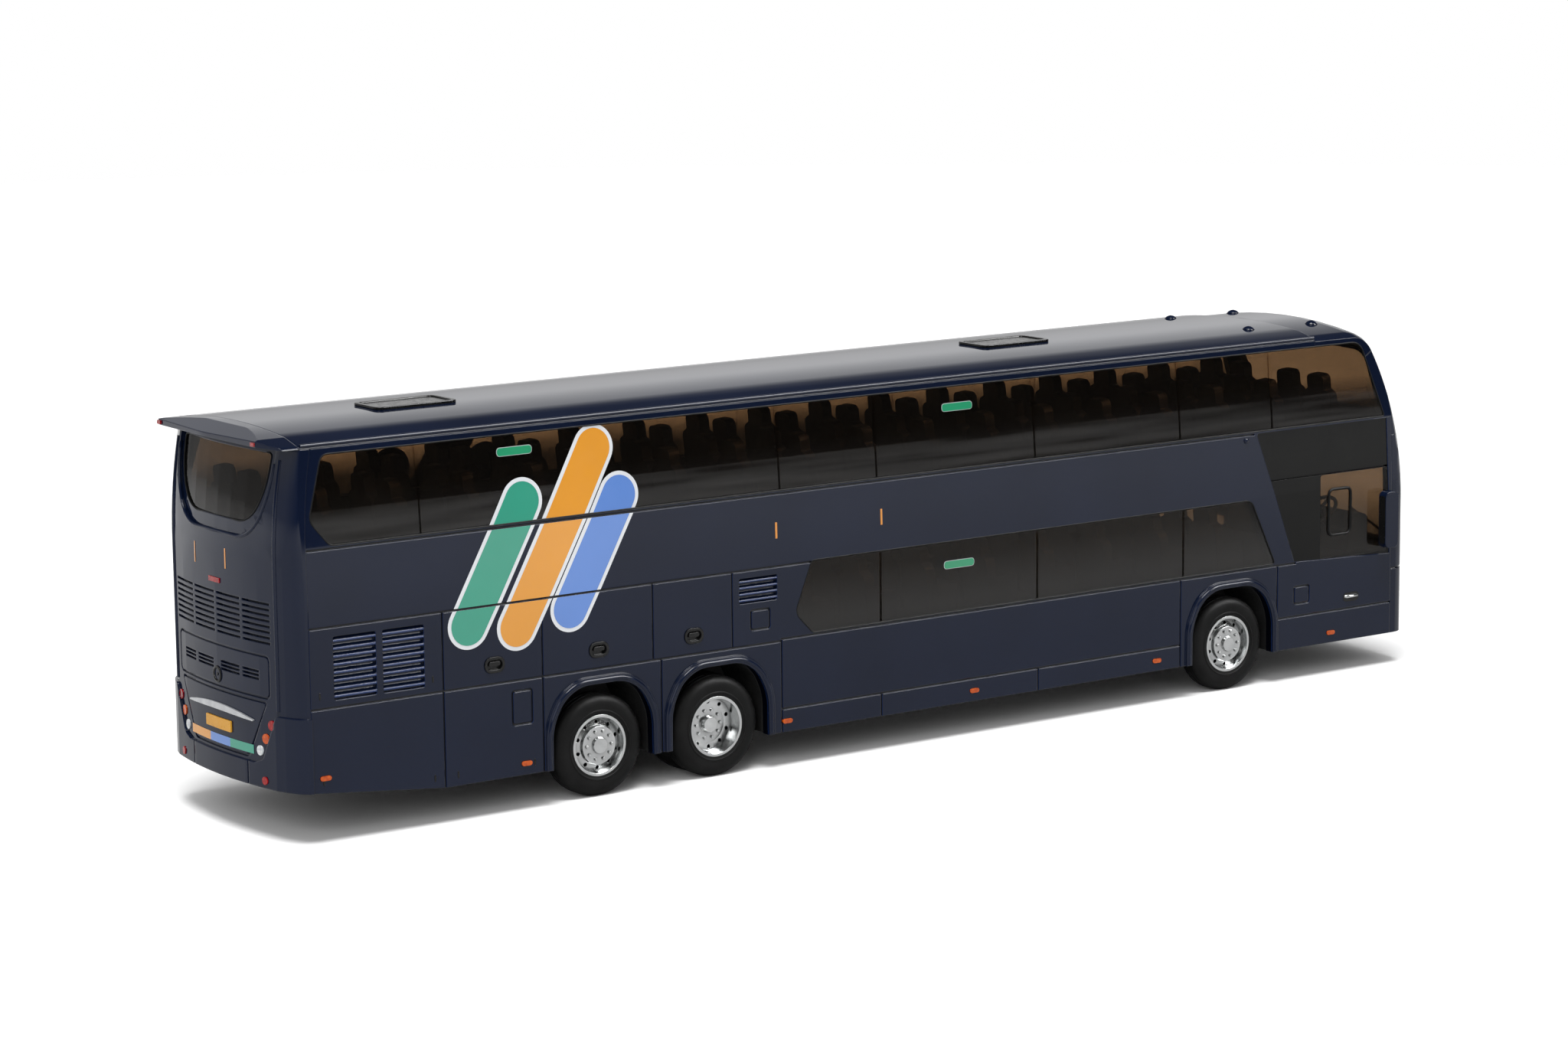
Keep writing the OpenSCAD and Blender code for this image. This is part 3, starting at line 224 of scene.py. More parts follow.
# tinted glazing, denser towards its foot; the upper panes also bow in there, with slight ripples
smoke = {"deep": (0.005, 0.0042, 0.0035), "light": (0.008, 0.0068, 0.0056), "rough": (0.03, 0.06),
         "mottle": 140, "roughScale": 300, "edgePower": 5.0, "bowDrop": 2.0, "rippleScale": 100,
         "rippleStretch": (0.2, 1.0, 2.4)}
panes = {
    "upper": {"tint": (0.82, 0.70, 0.57), "gloss": 0.45, "heights": (38.6, 42.6), "shine": (0.84, 0.30),
              "bow": 0.016, "ripple": 0.045},
    "lower": {"tint": (0.80, 0.69, 0.57), "gloss": 0.6, "heights": (19.0, 25.0), "shine": (0.74, 0.30)},
    "cab": {"tint": (0.80, 0.70, 0.59), "gloss": 0.5, "heights": (18.0, 25.0), "shine": (0.56, 0.30)},
    "screen": {"tint": (0.80, 0.70, 0.59), "gloss": 0.14, "heights": (18.0, 25.0), "shine": (0.56, 0.34)},
    "rear": {"tint": (0.80, 0.71, 0.61), "gloss": 0.22, "heights": (39.0, 46.0), "shine": (0.80, 0.56)},
}


def glassFinish(name, pane):
    f = Finish(name)
    f.put(Specular_IOR_Level=pane["gloss"])
    f.join(f.ramp(f.noise(smoke["mottle"], 2), (0.3, smoke["deep"]), (0.8, smoke["light"])), "Base Color")
    f.join(f.span(f.noise(smoke["roughScale"], 2), *smoke["rough"]), "Roughness")
    height = f.xyz(f.place)["Z"]
    low, high = (z * mm for z in pane["heights"])
    shine = f.span(height, *pane["shine"], low, high)
    clear = f.node("BsdfTransparent")
    clear.inputs["Color"].default_value = (*pane["tint"], 1)
    edge = f.math("POWER", f.node("LayerWeight").outputs["Facing"], smoke["edgePower"])
    amount = f.math("ADD", shine, f.math("MULTIPLY", edge, f.math("SUBTRACT", 1.0, shine)))
    if "bow" in pane:
        drop = smoke["bowDrop"] * mm
        bow = f.span(height, 0.0, pane["bow"] * (high - low), low - drop, high - drop)
        waves = f.noise(smoke["rippleScale"], 2, smoke["rippleStretch"])
        ripple = f.math("MULTIPLY", waves, pane["ripple"] * mm)
        f.bump(f.math("ADD", bow, ripple), 1.0, 1.0)
    both = f.blend(amount, clear.outputs["BSDF"], f.bsdf.outputs["BSDF"])
    f.links.new(both, f.nodes["Material Output"].inputs["Surface"])
    return f.mat


# plain plastics, metals and prints; an optional reach paints shade into their hollows
solidLook = {"roughScale": 6, "edge": 0.06, "shadeFrom": (0.3, 0.95), "shadeDark": 0.12}


def solidFinish(name, dark, light, scale, rough, grain, shadeReach=None, **values):
    f = Finish(name)
    colour = f.ramp(f.noise(scale), (0.3, dark), (0.75, light))
    if shadeReach:  # painted shade: darker in the corners and hollows, by ambient occlusion
        occlusion = f.node("AmbientOcclusion", samples=8)
        occlusion.inputs["Distance"].default_value = shadeReach * mm
        unshaded = f.span(occlusion.outputs["AO"], 0.0, 1.0, *solidLook["shadeFrom"])
        colour = f.mixColour(unshaded, tuple(c * solidLook["shadeDark"] for c in dark), colour)
    f.join(colour, "Base Color")
    f.join(f.span(f.noise(scale * solidLook["roughScale"], 2), *rough), "Roughness")
    grainScale, strength, height = grain
    f.bump(f.noise(grainScale), strength, height * mm, solidLook["edge"] * mm)
    return f.put(**values).mat


# lamp lenses with a fine cell pattern
lensLook = {"cells": 2600, "roughScale": 800, "rough": (0.08, 0.16), "dimple": (0.25, 0.05), "scatter": 0.3}


def lensFinish(name, dark, light):
    f = Finish(name)
    cells = f.node("TexVoronoi")
    cells.inputs["Scale"].default_value = lensLook["cells"]
    f.links.new(f.place, cells.inputs["Vector"])
    f.join(f.ramp(cells.outputs["Distance"], (0.1, light), (0.8, dark)), "Base Color")
    f.join(f.span(f.noise(lensLook["roughScale"], 2), *lensLook["rough"]), "Roughness")
    f.put(Coat_Weight=0.35, Coat_Roughness=0.03, Specular_IOR_Level=0.3, Subsurface_Weight=0.05,
          Subsurface_Scale=lensLook["scatter"] * mm)
    strength, height = lensLook["dimple"]
    return f.bump(cells.outputs["Distance"], strength, height * mm).mat


finishes = {
    "paint": paintFinish("glossNavyPaint", False),
    "sidePaint": paintFinish("glossNavySides", True),
    "cabBlack": solidFinish("glossBlackPanel", (0.003, 0.003, 0.0028), (0.005, 0.005, 0.0045), 220,
                            (0.06, 0.11), (3000, 0.03, 0.02), Specular_IOR_Level=0.17),
    "rubber": solidFinish("tyreRubber", (0.004, 0.004, 0.004), (0.008, 0.008, 0.008), 400, (0.40, 0.56),
                          (2400, 0.18, 0.03), Specular_IOR_Level=0.12),
    # the chrome rims get painted shade in their hollows
    "chrome": solidFinish("brightRim", (0.50, 0.51, 0.51), (0.66, 0.67, 0.67), 500, (0.15, 0.24),
                          (1800, 0.04, 0.03), 0.7, Metallic=1.0),
    "steel": solidFinish("drawnSteel", (0.42, 0.43, 0.45), (0.60, 0.61, 0.62), 300, (0.25, 0.40),
                         (1500, 0.06, 0.03), Metallic=1.0),
    "interior": solidFinish("seatPlastic", (0.010, 0.009, 0.008), (0.022, 0.019, 0.016), 260, (0.50, 0.70),
                            (2000, 0.20, 0.05)),
    "chassis": solidFinish("basePlastic", (0.008, 0.008, 0.008), (0.018, 0.018, 0.018), 200, (0.45, 0.62),
                           (1600, 0.15, 0.05)),
    "trim": solidFinish("blackTrim", (0.005, 0.005, 0.005), (0.010, 0.010, 0.010), 300, (0.16, 0.28),
                        (2600, 0.05, 0.02), Specular_IOR_Level=0.3),
    "gasket": solidFinish("softRubber", (0.003, 0.003, 0.003), (0.006, 0.006, 0.006), 400, (0.35, 0.50),
                          (2400, 0.10, 0.02), Specular_IOR_Level=0.15),
    "silver": solidFinish("silverTrim", (0.52, 0.53, 0.55), (0.68, 0.69, 0.70), 600, (0.28, 0.40),
                          (3000, 0.08, 0.02), Metallic=0.7),
    "plate": solidFinish("yellowPlate", (0.62, 0.29, 0.02), (0.76, 0.38, 0.03), 300, (0.25, 0.35),
                         (2000, 0.05, 0.02)),
    "redLens": lensFinish("redLens", (0.20, 0.003, 0.004), (0.42, 0.010, 0.010)),
    "amberLens": lensFinish("amberLens", (0.46, 0.060, 0.003), (0.66, 0.115, 0.006)),
    "clearLens": lensFinish("clearLens", (0.50, 0.52, 0.54), (0.82, 0.84, 0.85)),
}
for kind, pane in panes.items():
    finishes[kind + "Glass"] = glassFinish(kind + "TintGlass", pane)

slotFinish = {"navy_paint": "paint", "tyre": "rubber", "bright_rim": "chrome", "steel_pin": "steel",
              "black_glazing": "cabBlack", "tinted_glazing": "cabGlass", "interior_plastic": "interior",
              "chassis_plastic": "chassis", "black_trim": "trim", "clear_lens": "clearLens",
              "red_lens": "redLens", "amber_lens": "amberLens", "silver_trim": "silver",
              "yellow_plate": "plate"}
nodeFinish = {"body_side_right": "sidePaint", "body_side_left": "sidePaint", "rear_window": "rearGlass",
              "upper_glass_right": "upperGlass", "upper_glass_left": "upperGlass",
              "lower_glass_right": "lowerGlass", "lower_glass_left": "lowerGlass",
              "windscreen_upper": "screenGlass", "windscreen_lower": "screenGlass"}
nodeSlot = {s["node"]: s["material_slot"] for s in frame["record"]["subparts"]}
for name, obj in frame["nodes"].items():
    key = nodeFinish.get(name, slotFinish[nodeSlot[name]])
    if not obj.material_slots:
        obj.data.materials.append(finishes[key])
    for s in obj.material_slots:
        s.material = finishes[key]
print("finishes:", len(finishes))

# studio: white sweep, soft key from above, dim room on the camera's side
studio = {"key": 2.3, "keyAngle": 24, "keyFrom": (-0.16, -0.20, 1.0), "ambient": 0.40, "room": 0.06,
          "behind": (-0.15, 0.25), "sweepTop": (0.16, 0.46), "horizon": (0.02, 0.18),
          "under": (-0.12, -0.05), "softbox": 22.0,
          "softboxEdges": {"X": (0.28, 0.40), "Y": (-0.36, -0.44), "Z": (0.36, 0.44)},
          "lamps": (("topStrip", (-0.05, -0.16, 0.75), (0, -0.01, 0.045), (1.1, 0.10), 1.6),
                    ("sideFill", (-0.75, -0.65, 0.50), (0, 0, 0.03), (0.5, 0.5), 3.0)),
          "floorSize": 3.2, "floorFade": (0.45, 0.95), "nearFloorShade": 0.62, "nearReach": (0.06, 0.26)}


def addRoom(s):  # the world that reflections see; the camera sees plain white
    world = bpy.data.worlds.new("studioRoom")
    scene.world = world
    world.use_nodes = True
    w = Nodes(world.node_tree)
    w.nodes.clear()

    def backdrop(level):
        n = w.node("Background")
        n.inputs["Color"].default_value = (1, 1, 1, 1)
        w.feed(level, n.inputs["Strength"])
        return n.outputs["Background"]

    ray = w.node("LightPath").outputs
    way = w.xyz(w.node("TexCoord").outputs["Generated"])
    behind = w.span(way["Y"], 0.0, 1.0, *s["behind"])
    low = w.span(way["Z"], 1.0, 0.0, *s["sweepTop"])
    low = w.math("MULTIPLY", low, w.span(way["Z"], 0.5, 1.0, *s["horizon"]))
    under = w.span(way["Z"], 1.0, 0.0, *s["under"])
    sweep = w.math("MAXIMUM", w.math("MULTIPLY", behind, low), under)
    overhead = s["softbox"]
    for axis, edge in s["softboxEdges"].items():
        overhead = w.math("MULTIPLY", overhead, w.span(way[axis], 0.0, 1.0, *edge))
    seen = w.math("ADD", s["room"], w.math("MULTIPLY", sweep, 1.0 - s["room"]))
    seen = w.math("ADD", seen, overhead)
    mirrored = w.math("MAXIMUM", ray["Is Glossy Ray"], ray["Is Transmission Ray"])
    lit = w.blend(mirrored, backdrop(s["ambient"]), backdrop(seen))
    shown = w.blend(ray["Is Camera Ray"], lit, backdrop(1.0))
    w.links.new(shown, w.node("OutputWorld").inputs["Surface"])


def addLamp(name, kind, energy, facing):
    data = bpy.data.lights.new(name, kind)
    data.energy = energy
    obj = bpy.data.objects.new(name, data)
    obj.rotation_euler = Vector(facing).to_track_quat("Z", "Y").to_euler()
    scene.collection.objects.link(obj)
    return obj


def addLamps(s):
    key = addLamp("keyLight", "SUN", s["key"], s["keyFrom"])
    key.data.angle = math.radians(s["keyAngle"])
    for name, place, aim, size, power in s["lamps"]:
        box = addLamp(name, "AREA", power, Vector(place) - Vector(aim))
        box.data.shape = "RECTANGLE"
        box.data.size, box.data.size_y = size
        box.location = place


def addFloor(s):  # white to the camera; for other rays darker near the coach, a painted shadow seen in reflections and bounce light
    bpy.ops.mesh.primitive_plane_add(size=s["floorSize"])
    floor = bpy.context.object
    floor.name = "floor"
    f = Finish("paleFloor")
    pale = f.ramp(f.noise(8, 2), (0.3, (0.88, 0.88, 0.88)), (0.7, (0.90, 0.90, 0.90)))
    # painted shadow: the floor darkens towards the coach for all but camera rays
    away = f.span(f.math("ABSOLUTE", f.xyz(f.place)["Y"]), s["nearFloorShade"], 1.0, *s["nearReach"])
    paintedShadeNearCoach = f.mixColour(away, (0.0, 0.0, 0.0), pale)
    toCamera = f.node("LightPath").outputs["Is Camera Ray"]
    f.join(f.mixColour(toCamera, paintedShadeNearCoach, (1.0, 1.0, 1.0)), "Base Color")
    f.put(Roughness=0.6, Specular_IOR_Level=0.0)
    reach = f.node("VectorMath", operation="LENGTH")  # far out the floor melts into the white room
    f.links.new(f.place, reach.inputs[0])
    f.join(f.span(reach.outputs["Value"], 1.0, 0.0, *s["floorFade"]), "Alpha")
    floor.data.materials.append(f.mat)


addRoom(studio)
addLamps(studio)
addFloor(studio)
print("studio: camera, room, key, two area lamps, floor")


# mesh helpers; a part is (verts, faces) in mm
def place(obj, body, slot, replaced=None):
    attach(obj, body)
    if replaced:
        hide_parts(replaced)
    return obj


def inMetres(pts):
    return [tuple(c * mm for c in q) for q in pts]


def addPiece(name, part, material, slot, body="coach", replaced=None, smooth=35):
    verts, faces = part
    mesh = bpy.data.meshes.new(name)
    mesh.from_pydata(inMetres(verts), [], faces)
    bm = bmesh.new()
    bm.from_mesh(mesh)
    bmesh.ops.remove_doubles(bm, verts=bm.verts, dist=0.002 * mm)
    bmesh.ops.recalc_face_normals(bm, faces=bm.faces)
    bm.to_mesh(mesh)
    bm.free()
    for p in mesh.polygons:
        p.use_smooth = True
    mesh.set_sharp_from_angle(angle=math.radians(smooth))
    mesh.materials.append(finishes[material])
    obj = bpy.data.objects.new(name, mesh)
    scene.collection.objects.link(obj)
    return place(obj, body, slot, replaced)


def evenly(a, b, steps):
    return [a + (b - a) * k / steps for k in range(steps + 1)]


def roundedLoop(corners, steps=6):
    pts = []
    n = len(corners)
    for k in range(n):
        a, p, b = (Vector(corners[(k + d) % n][:2]) for d in (-1, 0, 1))
        r = corners[k][2]
        if r <= 0:
            pts.append(p)
            continue
        u, v = (a - p).normalized(), (b - p).normalized()
        half = u.angle(v) / 2
        centre = p + (u + v).normalized() * r / math.sin(half)
        start = p + u * r / math.tan(half) - centre
        end = p + v * r / math.tan(half) - centre
        sweep = math.atan2(start.x * end.y - start.y * end.x, start.dot(end))
        for t in evenly(0.0, sweep, steps):
            pts.append(centre + Vector((start.x * math.cos(t) - start.y * math.sin(t),
                                        start.x * math.sin(t) + start.y * math.cos(t))))
    return pts


def boxLoop(x, z, halfX, halfZ, r):
    return roundedLoop([(x - halfX, z - halfZ, r), (x + halfX, z - halfZ, r), (x + halfX, z + halfZ, r),
                        (x - halfX, z + halfZ, r)], 5)


def wallY(z):  # the right side's outer skin
    y = -wall["half"]
    if z <= wall["waist"]:
        return y
    if z <= wall["belt"]:
        return y + wall["waistLean"] * (z - wall["waist"]) / (wall["belt"] - wall["waist"])
    return y + wall["waistLean"] + wall["beltLean"] * (z - wall["belt"]) / (wall["eaves"] - wall["belt"])


tail = {"x": -92.4, "bulge": 1.2, "bulgeHalf": 12.8, "curveFrom": 34.0, "curve": 70.0}


def tailX(y, z, lift=0.0):  # the rear's outer skin: bulged across, curving forward above
    setback = tail["bulge"] * (y / tail["bulgeHalf"]) ** 2 - lift
    if z <= tail["curveFrom"]:
        return tail["x"] + setback
    r = tail["curve"] - setback
    return tail["x"] + tail["curve"] - math.sqrt(r * r - (z - tail["curveFrom"]) ** 2)


def onTail(loop, sink):  # points of (y, z) laid on the rear
    return [(tailX(y, z, -sink), y, z) for y, z in loop]


def clipLoop(pts, axis, limit, keepAbove):
    out = []
    sign = 1 if keepAbove else -1
    for k, p in enumerate(pts):
        q = pts[(k + 1) % len(pts)]
        dp, dq = sign * (p[axis] - limit), sign * (q[axis] - limit)
        if dp >= 0:
            out.append(p)
        if dp * dq < 0:
            out.append(p + (q - p) * (dp / (dp - dq)))
    return out


def wallPatch(pts, lift, bands, left=False):  # a loop laid on a side, cut into bands of height
    verts, faces = [], []
    way = -1 if left else 1
    for z0, z1, sink in bands:
        loop = clipLoop(clipLoop(pts, 1, z0, True), 1, z1, False)
        if len(loop) > 2:
            faces.append(list(range(len(verts), len(verts) + len(loop))))
            verts += [(p.x, way * (wallY(p.y) + sink - lift), p.y) for p in loop]
    return verts, faces


def onSides(loop, lift):  # a loop of (x, z) laid on both sides
    return [[(p.x, way * (wallY(p.y) - lift), p.y) for p in loop] for way in (1, -1)]


def gather(parts):
    verts, faces = [], []
    for v, f in parts:
        faces += [[i + len(verts) for i in face] for face in f]
        verts += v
    return verts, faces


def lathe(profile, segments):  # profile of (radius, y), closed, about the Y axis
    verts, faces = [], []
    n = len(profile)
    for s in range(segments):
        a = 2 * math.pi * s / segments
        verts += [(r * math.cos(a), y, r * math.sin(a)) for r, y in profile]
    for s in range(segments):
        t = (s + 1) % segments
        faces += [[s * n + k, s * n + (k + 1) % n, t * n + (k + 1) % n, t * n + k] for k in range(n)]
    return verts, faces


# tyres with three tread grooves and a raised sidewall bead
tyre = {"radius": 6.6, "width": 3.6, "face": 16.1, "twinStep": 4.1, "axleHeight": 6.6, "segments": 96,
        "side": ((3.95, 0.15), (4.3, 0.08), (4.36, 0.0), (4.5, 0.0), (4.58, 0.07), (5.2, 0.03), (5.7, 0.07),
                 (6.05, 0.22), (6.32, 0.42), (6.5, 0.66), (6.6, 0.92)),
        "grooves": (1.02, 1.8, 2.58), "grooveDepth": 0.2, "grooveHalf": (0.1, 0.06),
        "sets": (("front", 57.9, 1), ("drive", -29.4, 2), ("tag", -47.3, 1))}


def tyreProfile(t):
    top, bottom = t["radius"], t["radius"] - t["grooveDepth"]
    wide, narrow = t["grooveHalf"]
    tread = []
    for d in t["grooves"]:
        tread += [(top, d - wide), (bottom, d - narrow), (bottom, d + narrow), (top, d + wide)]
    return list(t["side"]) + tread + [(q, t["width"] - y) for q, y in reversed(t["side"])]


def tyreSet(t, x, rows):
    verts, faces = lathe(tyreProfile(t), t["segments"])
    parts = []
    for way in (1, -1):
        for k in range(rows):
            at = -t["face"] + k * t["twinStep"]
            parts.append(([(x + a, way * (at + b), t["axleHeight"] + c) for a, b, c in verts], faces))
    return gather(parts)


for label, x, rows in tyre["sets"]:
    addPiece(label + "TreadedTyres", tyreSet(tyre, x, rows), "rubber", "tyre", label + "_axle_set",
             label + "_tyres", 30)
print("tyres: three sets")

# printed colours
printLook = {"orange": (0.80, 0.33, 0.028), "green": (0.030, 0.33, 0.22), "blue": (0.12, 0.26, 0.67),
             "white": (0.80, 0.82, 0.85), "exitGreen": (0.015, 0.30, 0.14),
             "dividerOrange": (0.72, 0.26, 0.02)}
for key, colour in printLook.items():
    dark = tuple(c * 0.92 for c in colour)
    finishes[key] = solidFinish(key + "Print", dark, colour, 90, (0.14, 0.22), (2600, 0.03, 0.02),
                                Coat_Weight=0.6)

# side graphic: three slanted bands with white edging, cut at the panel gaps
bandBook = {"half": 2.45, "edge": 0.5, "lift": 0.03, "capSteps": 20,
            "bands": (("green", (-66.6, 24.4), (-58.2, 39.0)), ("orange", (-59.6, 23.4), (-47.4, 44.6)),
                      ("blue", (-51.8, 24.8), (-44.0, 38.4))),
            "panels": ((19.0, 26.45, 0.0), (26.75, 27.0, 0.0), (27.0, 35.9, 0.0), (36.5, 47.3, 0.12))}


def capsule(a, b, half, steps):
    a, b = Vector(a), Vector(b)
    along = (b - a).normalized()
    start = math.atan2(along.y, along.x) - math.pi / 2
    cap = [Vector((math.cos(t), math.sin(t))) * half for t in evenly(start, start + math.pi, steps)]
    return [b + v for v in cap] + [a - v for v in cap]


def bandOnSides(b, ends, half, lift):
    loop = capsule(*ends, half, b["capSteps"])
    return [wallPatch(loop, lift, b["panels"], left) for left in (False, True)]


def sidePrints(b):
    edging = []
    for colour, *ends in b["bands"]:
        edging += bandOnSides(b, ends, b["half"] + b["edge"], b["lift"])
    addPiece("bandEdging", gather(edging), "white", "navy_paint")
    for colour, *ends in b["bands"]:
        band = gather(bandOnSides(b, ends, b["half"], 2 * b["lift"]))
        addPiece(colour + "Band", band, colour, "navy_paint")


sidePrints(bandBook)

# blank green signs on the panes and thin divider bars on the belt
signBook = {"signs": ((-58.9, 45.3), (9.9, 44.65), (9.5, 23.65)), "half": (2.55, 0.55), "border": 0.05,
            "corners": (0.45, 0.41), "lifts": (0.09, 0.11), "panes": ((0.0, 27.0, 0.12), (36.4, 48.0, 0.12)),
            "bars": ((-20.2, 31.3), (-3.3, 31.3)), "barHalf": (0.16, 1.05), "barCorner": 0.02,
            "barLift": 0.03, "belt": ((27.0, 36.4, 0.0),)}


def signs(b):
    edges, faces, bars = [], [], []
    hx, hz = b["half"]
    m = b["border"]
    for left in (False, True):
        for x, z in b["signs"]:
            outer = boxLoop(x, z, hx, hz, b["corners"][0])
            inner = boxLoop(x, z, hx - m, hz - m, b["corners"][1])
            edges.append(wallPatch(outer, b["lifts"][0], b["panes"], left))
            faces.append(wallPatch(inner, b["lifts"][1], b["panes"], left))
        for x, z in b["bars"]:
            bar = boxLoop(x, z, *b["barHalf"], b["barCorner"])
            bars.append(wallPatch(bar, b["barLift"], b["belt"], left))
    addPiece("signEdges", gather(edges), "white", "tinted_glazing")
    addPiece("signFaces", gather(faces), "exitGreen", "tinted_glazing")
    addPiece("beltBars", gather(bars), "dividerOrange", "navy_paint")


signs(signBook)
print("side prints and signs")

# painted panels: merged copies of the CAD skins with rounded edges and smooth curves
panelBook = {"merge": 0.0008, "flat": 0.4, "edge": 0.15, "steps": 3, "sharp": 24, "edgeFrom": 38,
             "weight": 80,
             "panels": {"body_side_right": "sidePaint", "body_side_left": "sidePaint", "roof": "paint",
                        "front_lower": "paint", "front_upper": "paint", "front_dome": "paint",
                        "rear_panel": "paint", "rear_spoiler": "paint", "entrance_door": "paint",
                        "mirror_right": "paint", "mirror_left": "paint", "roof_domes": "paint",
                        "roof_hatches": "trim", "locker_handles": "trim"}}


def settle(obj):  # the modifiers' result becomes the mesh
    bpy.context.view_layer.update()
    done = bpy.data.meshes.new_from_object(obj.evaluated_get(bpy.context.evaluated_depsgraph_get()))
    obj.modifiers.clear()
    obj.data = done
    return done


def softPanel(node, material, book):
    mesh = frame["nodes"][node].data.copy()
    bm = bmesh.new()
    bm.from_mesh(mesh)
    bmesh.ops.remove_doubles(bm, verts=bm.verts, dist=book["merge"] * mm)
    bmesh.ops.dissolve_limit(bm, angle_limit=math.radians(book["flat"]), verts=bm.verts, edges=bm.edges)
    bm.to_mesh(mesh)
    bm.free()
    words = node.split("_")
    name = words[0] + "".join(w.capitalize() for w in words[1:]) + "Skin"
    obj = bpy.data.objects.new(name, mesh)
    scene.collection.objects.link(obj)
    for poly in mesh.polygons:
        poly.use_smooth = True
    mesh.set_sharp_from_angle(angle=math.radians(book["sharp"]))
    rim = obj.modifiers.new("roundedEdges", "BEVEL")
    rim.width = book["edge"] * mm
    rim.segments = book["steps"]
    rim.limit_method = "ANGLE"
    rim.angle_limit = math.radians(book["edgeFrom"])
    even = obj.modifiers.new("evenShading", "WEIGHTED_NORMAL")
    even.keep_sharp = True
    even.weight = book["weight"]
    done = settle(obj)
    done.materials.clear()
    done.materials.append(finishes[material])
    place(obj, "coach", nodeSlot[node], node)
    return len(done.polygons)


for node, material in panelBook["panels"].items():
    print("panel", node, softPanel(node, material, panelBook), "faces")


# geometry nodes: a round strip along a path, and one shape set at many points
def growTree(name, sockets, build):
    tree = bpy.data.node_groups.new(name, "GeometryNodeTree")

    def socket(label, kind, way="INPUT"):
        return tree.interface.new_socket(label, in_out=way, socket_type="NodeSocket" + kind).identifier

    def add(kind):
        return tree.nodes.new("GeometryNode" + kind)

    socket("Geometry", "Geometry")
    ids = {label: socket(label, kind) for label, kind in sockets.items()}
    socket("Geometry", "Geometry", "OUTPUT")
    link = tree.links.new
    given = tree.nodes.new("NodeGroupInput").outputs
    real, paint = add("RealizeInstances"), add("SetMaterial")
    link(build(add, link, given), real.inputs["Geometry"])
    link(real.outputs["Geometry"], paint.inputs["Geometry"])
    link(given["Finish"], paint.inputs["Material"])
    link(paint.outputs["Geometry"], tree.nodes.new("NodeGroupOutput").inputs["Geometry"])
    return tree, ids


def stripShape(add, link, given):
    curve, ring, sweep = add("MeshToCurve"), add("CurvePrimitiveCircle"), add("CurveToMesh")
    soft = add("SetShadeSmooth")
    link(given["Geometry"], curve.inputs["Mesh"])
    link(given["Radius"], ring.inputs["Radius"])
    link(given["Sides"], ring.inputs["Resolution"])
    link(curve.outputs["Curve"], sweep.inputs["Curve"])
    link(ring.outputs["Curve"], sweep.inputs["Profile Curve"])
    sweep.inputs["Fill Caps"].default_value = True
    link(sweep.outputs["Mesh"], soft.inputs["Geometry"])
    return soft.outputs["Geometry"]


def beadShape(add, link, given):
    ball, soft = add("MeshUVSphere"), add("SetShadeSmooth")
    squash, atPoints = add("Transform"), add("InstanceOnPoints")
    for key, value in (("Segments", 16), ("Rings", 8), ("Radius", 1.0)):
        ball.inputs[key].default_value = value
    link(ball.outputs["Mesh"], soft.inputs["Geometry"])
    link(soft.outputs["Geometry"], squash.inputs["Geometry"])
    link(given["Size"], squash.inputs["Scale"])
    link(given["Geometry"], atPoints.inputs["Points"])
    link(squash.outputs["Geometry"], atPoints.inputs["Instance"])
    return atPoints.outputs["Instances"]


strips = growTree("stripOnPath", {"Radius": "Float", "Sides": "Int", "Finish": "Material"}, stripShape)
beads = growTree("shapeAtPoints", {"Size": "Vector", "Finish": "Material"}, beadShape)


def grown(name, verts, edges, tree, values, material, slot):
    mesh = bpy.data.meshes.new(name)
    mesh.from_pydata(inMetres(verts), edges, [])
    obj = bpy.data.objects.new(name, mesh)
    mod = obj.modifiers.new("grow", "NODES")
    mod.node_group, ids = tree
    for label, value in values.items():
        mod[ids[label]] = value
    mod[ids["Finish"]] = finishes[material]
    scene.collection.objects.link(obj)
    settle(obj)
    place(obj, "coach", slot)


def stripPiece(name, paths, radius, material, slot, sides, closed=False):
    verts, edges = [], []
    for pts in paths:
        first = len(verts)
        verts += pts
        edges += [(k, k + 1) for k in range(first, len(verts) - 1)]
        if closed:
            edges.append((len(verts) - 1, first))
    grown(name, verts, edges, strips, {"Radius": radius * mm, "Sides": sides}, material, slot)


def beadPiece(name, spots, size, material, slot):  # spots of (x, z) on both sides
    pts = [(x, way * wallY(z), z) for x, z in spots for way in (1, -1)]
    grown(name, pts, [], beads, {"Size": tuple(c * mm for c in size)}, material, slot)


# rolled lips over the wheels; corners give x, z, how far each moves out with the lip, and the radius
archBook = {"centres": (57.9, -29.4, -47.3), "grow": 0.48, "lift": 0.18, "radius": 0.29, "foot": 4.75,
            "corners": ((7.6, 0.0, 1.0, 0.0, 0), (7.5, 10.0, 1.0, 0.3, 7), (5.9, 13.2, 0.75, 0.8, 5),
                        (3.4, 14.8, 0.3, 1.0, 5))}


def archPath(x, b):
    g = b["grow"]
    side = [(q + g * outX, z + g * outZ, r) for q, z, outX, outZ, r in b["corners"]]
    near = [(x - q, z, r) for q, z, r in side]
    far = [(x + q, z, r) for q, z, r in reversed(side)]
    arch = [q for q in roundedLoop(near + far, 8) if q.y > b["foot"]]
    return [Vector((arch[0].x, b["foot"]))] + arch + [Vector((arch[-1].x, b["foot"]))]


lips = []
for x in archBook["centres"]:
    lips += onSides(archPath(x, archBook), archBook["lift"])
stripPiece("archBeads", lips, archBook["radius"], "paint", "navy_paint", 12)

# gutter along the roof's edge
gutter = {"ends": (-88.5, 74.0), "y": 15.42, "z": 48.62, "radius": 0.24, "steps": 12}
rails = [[(x, y, gutter["z"]) for x in evenly(*gutter["ends"], gutter["steps"])]
         for y in (gutter["y"], -gutter["y"])]
stripPiece("roofGutters", rails, gutter["radius"], "paint", "navy_paint", 12)

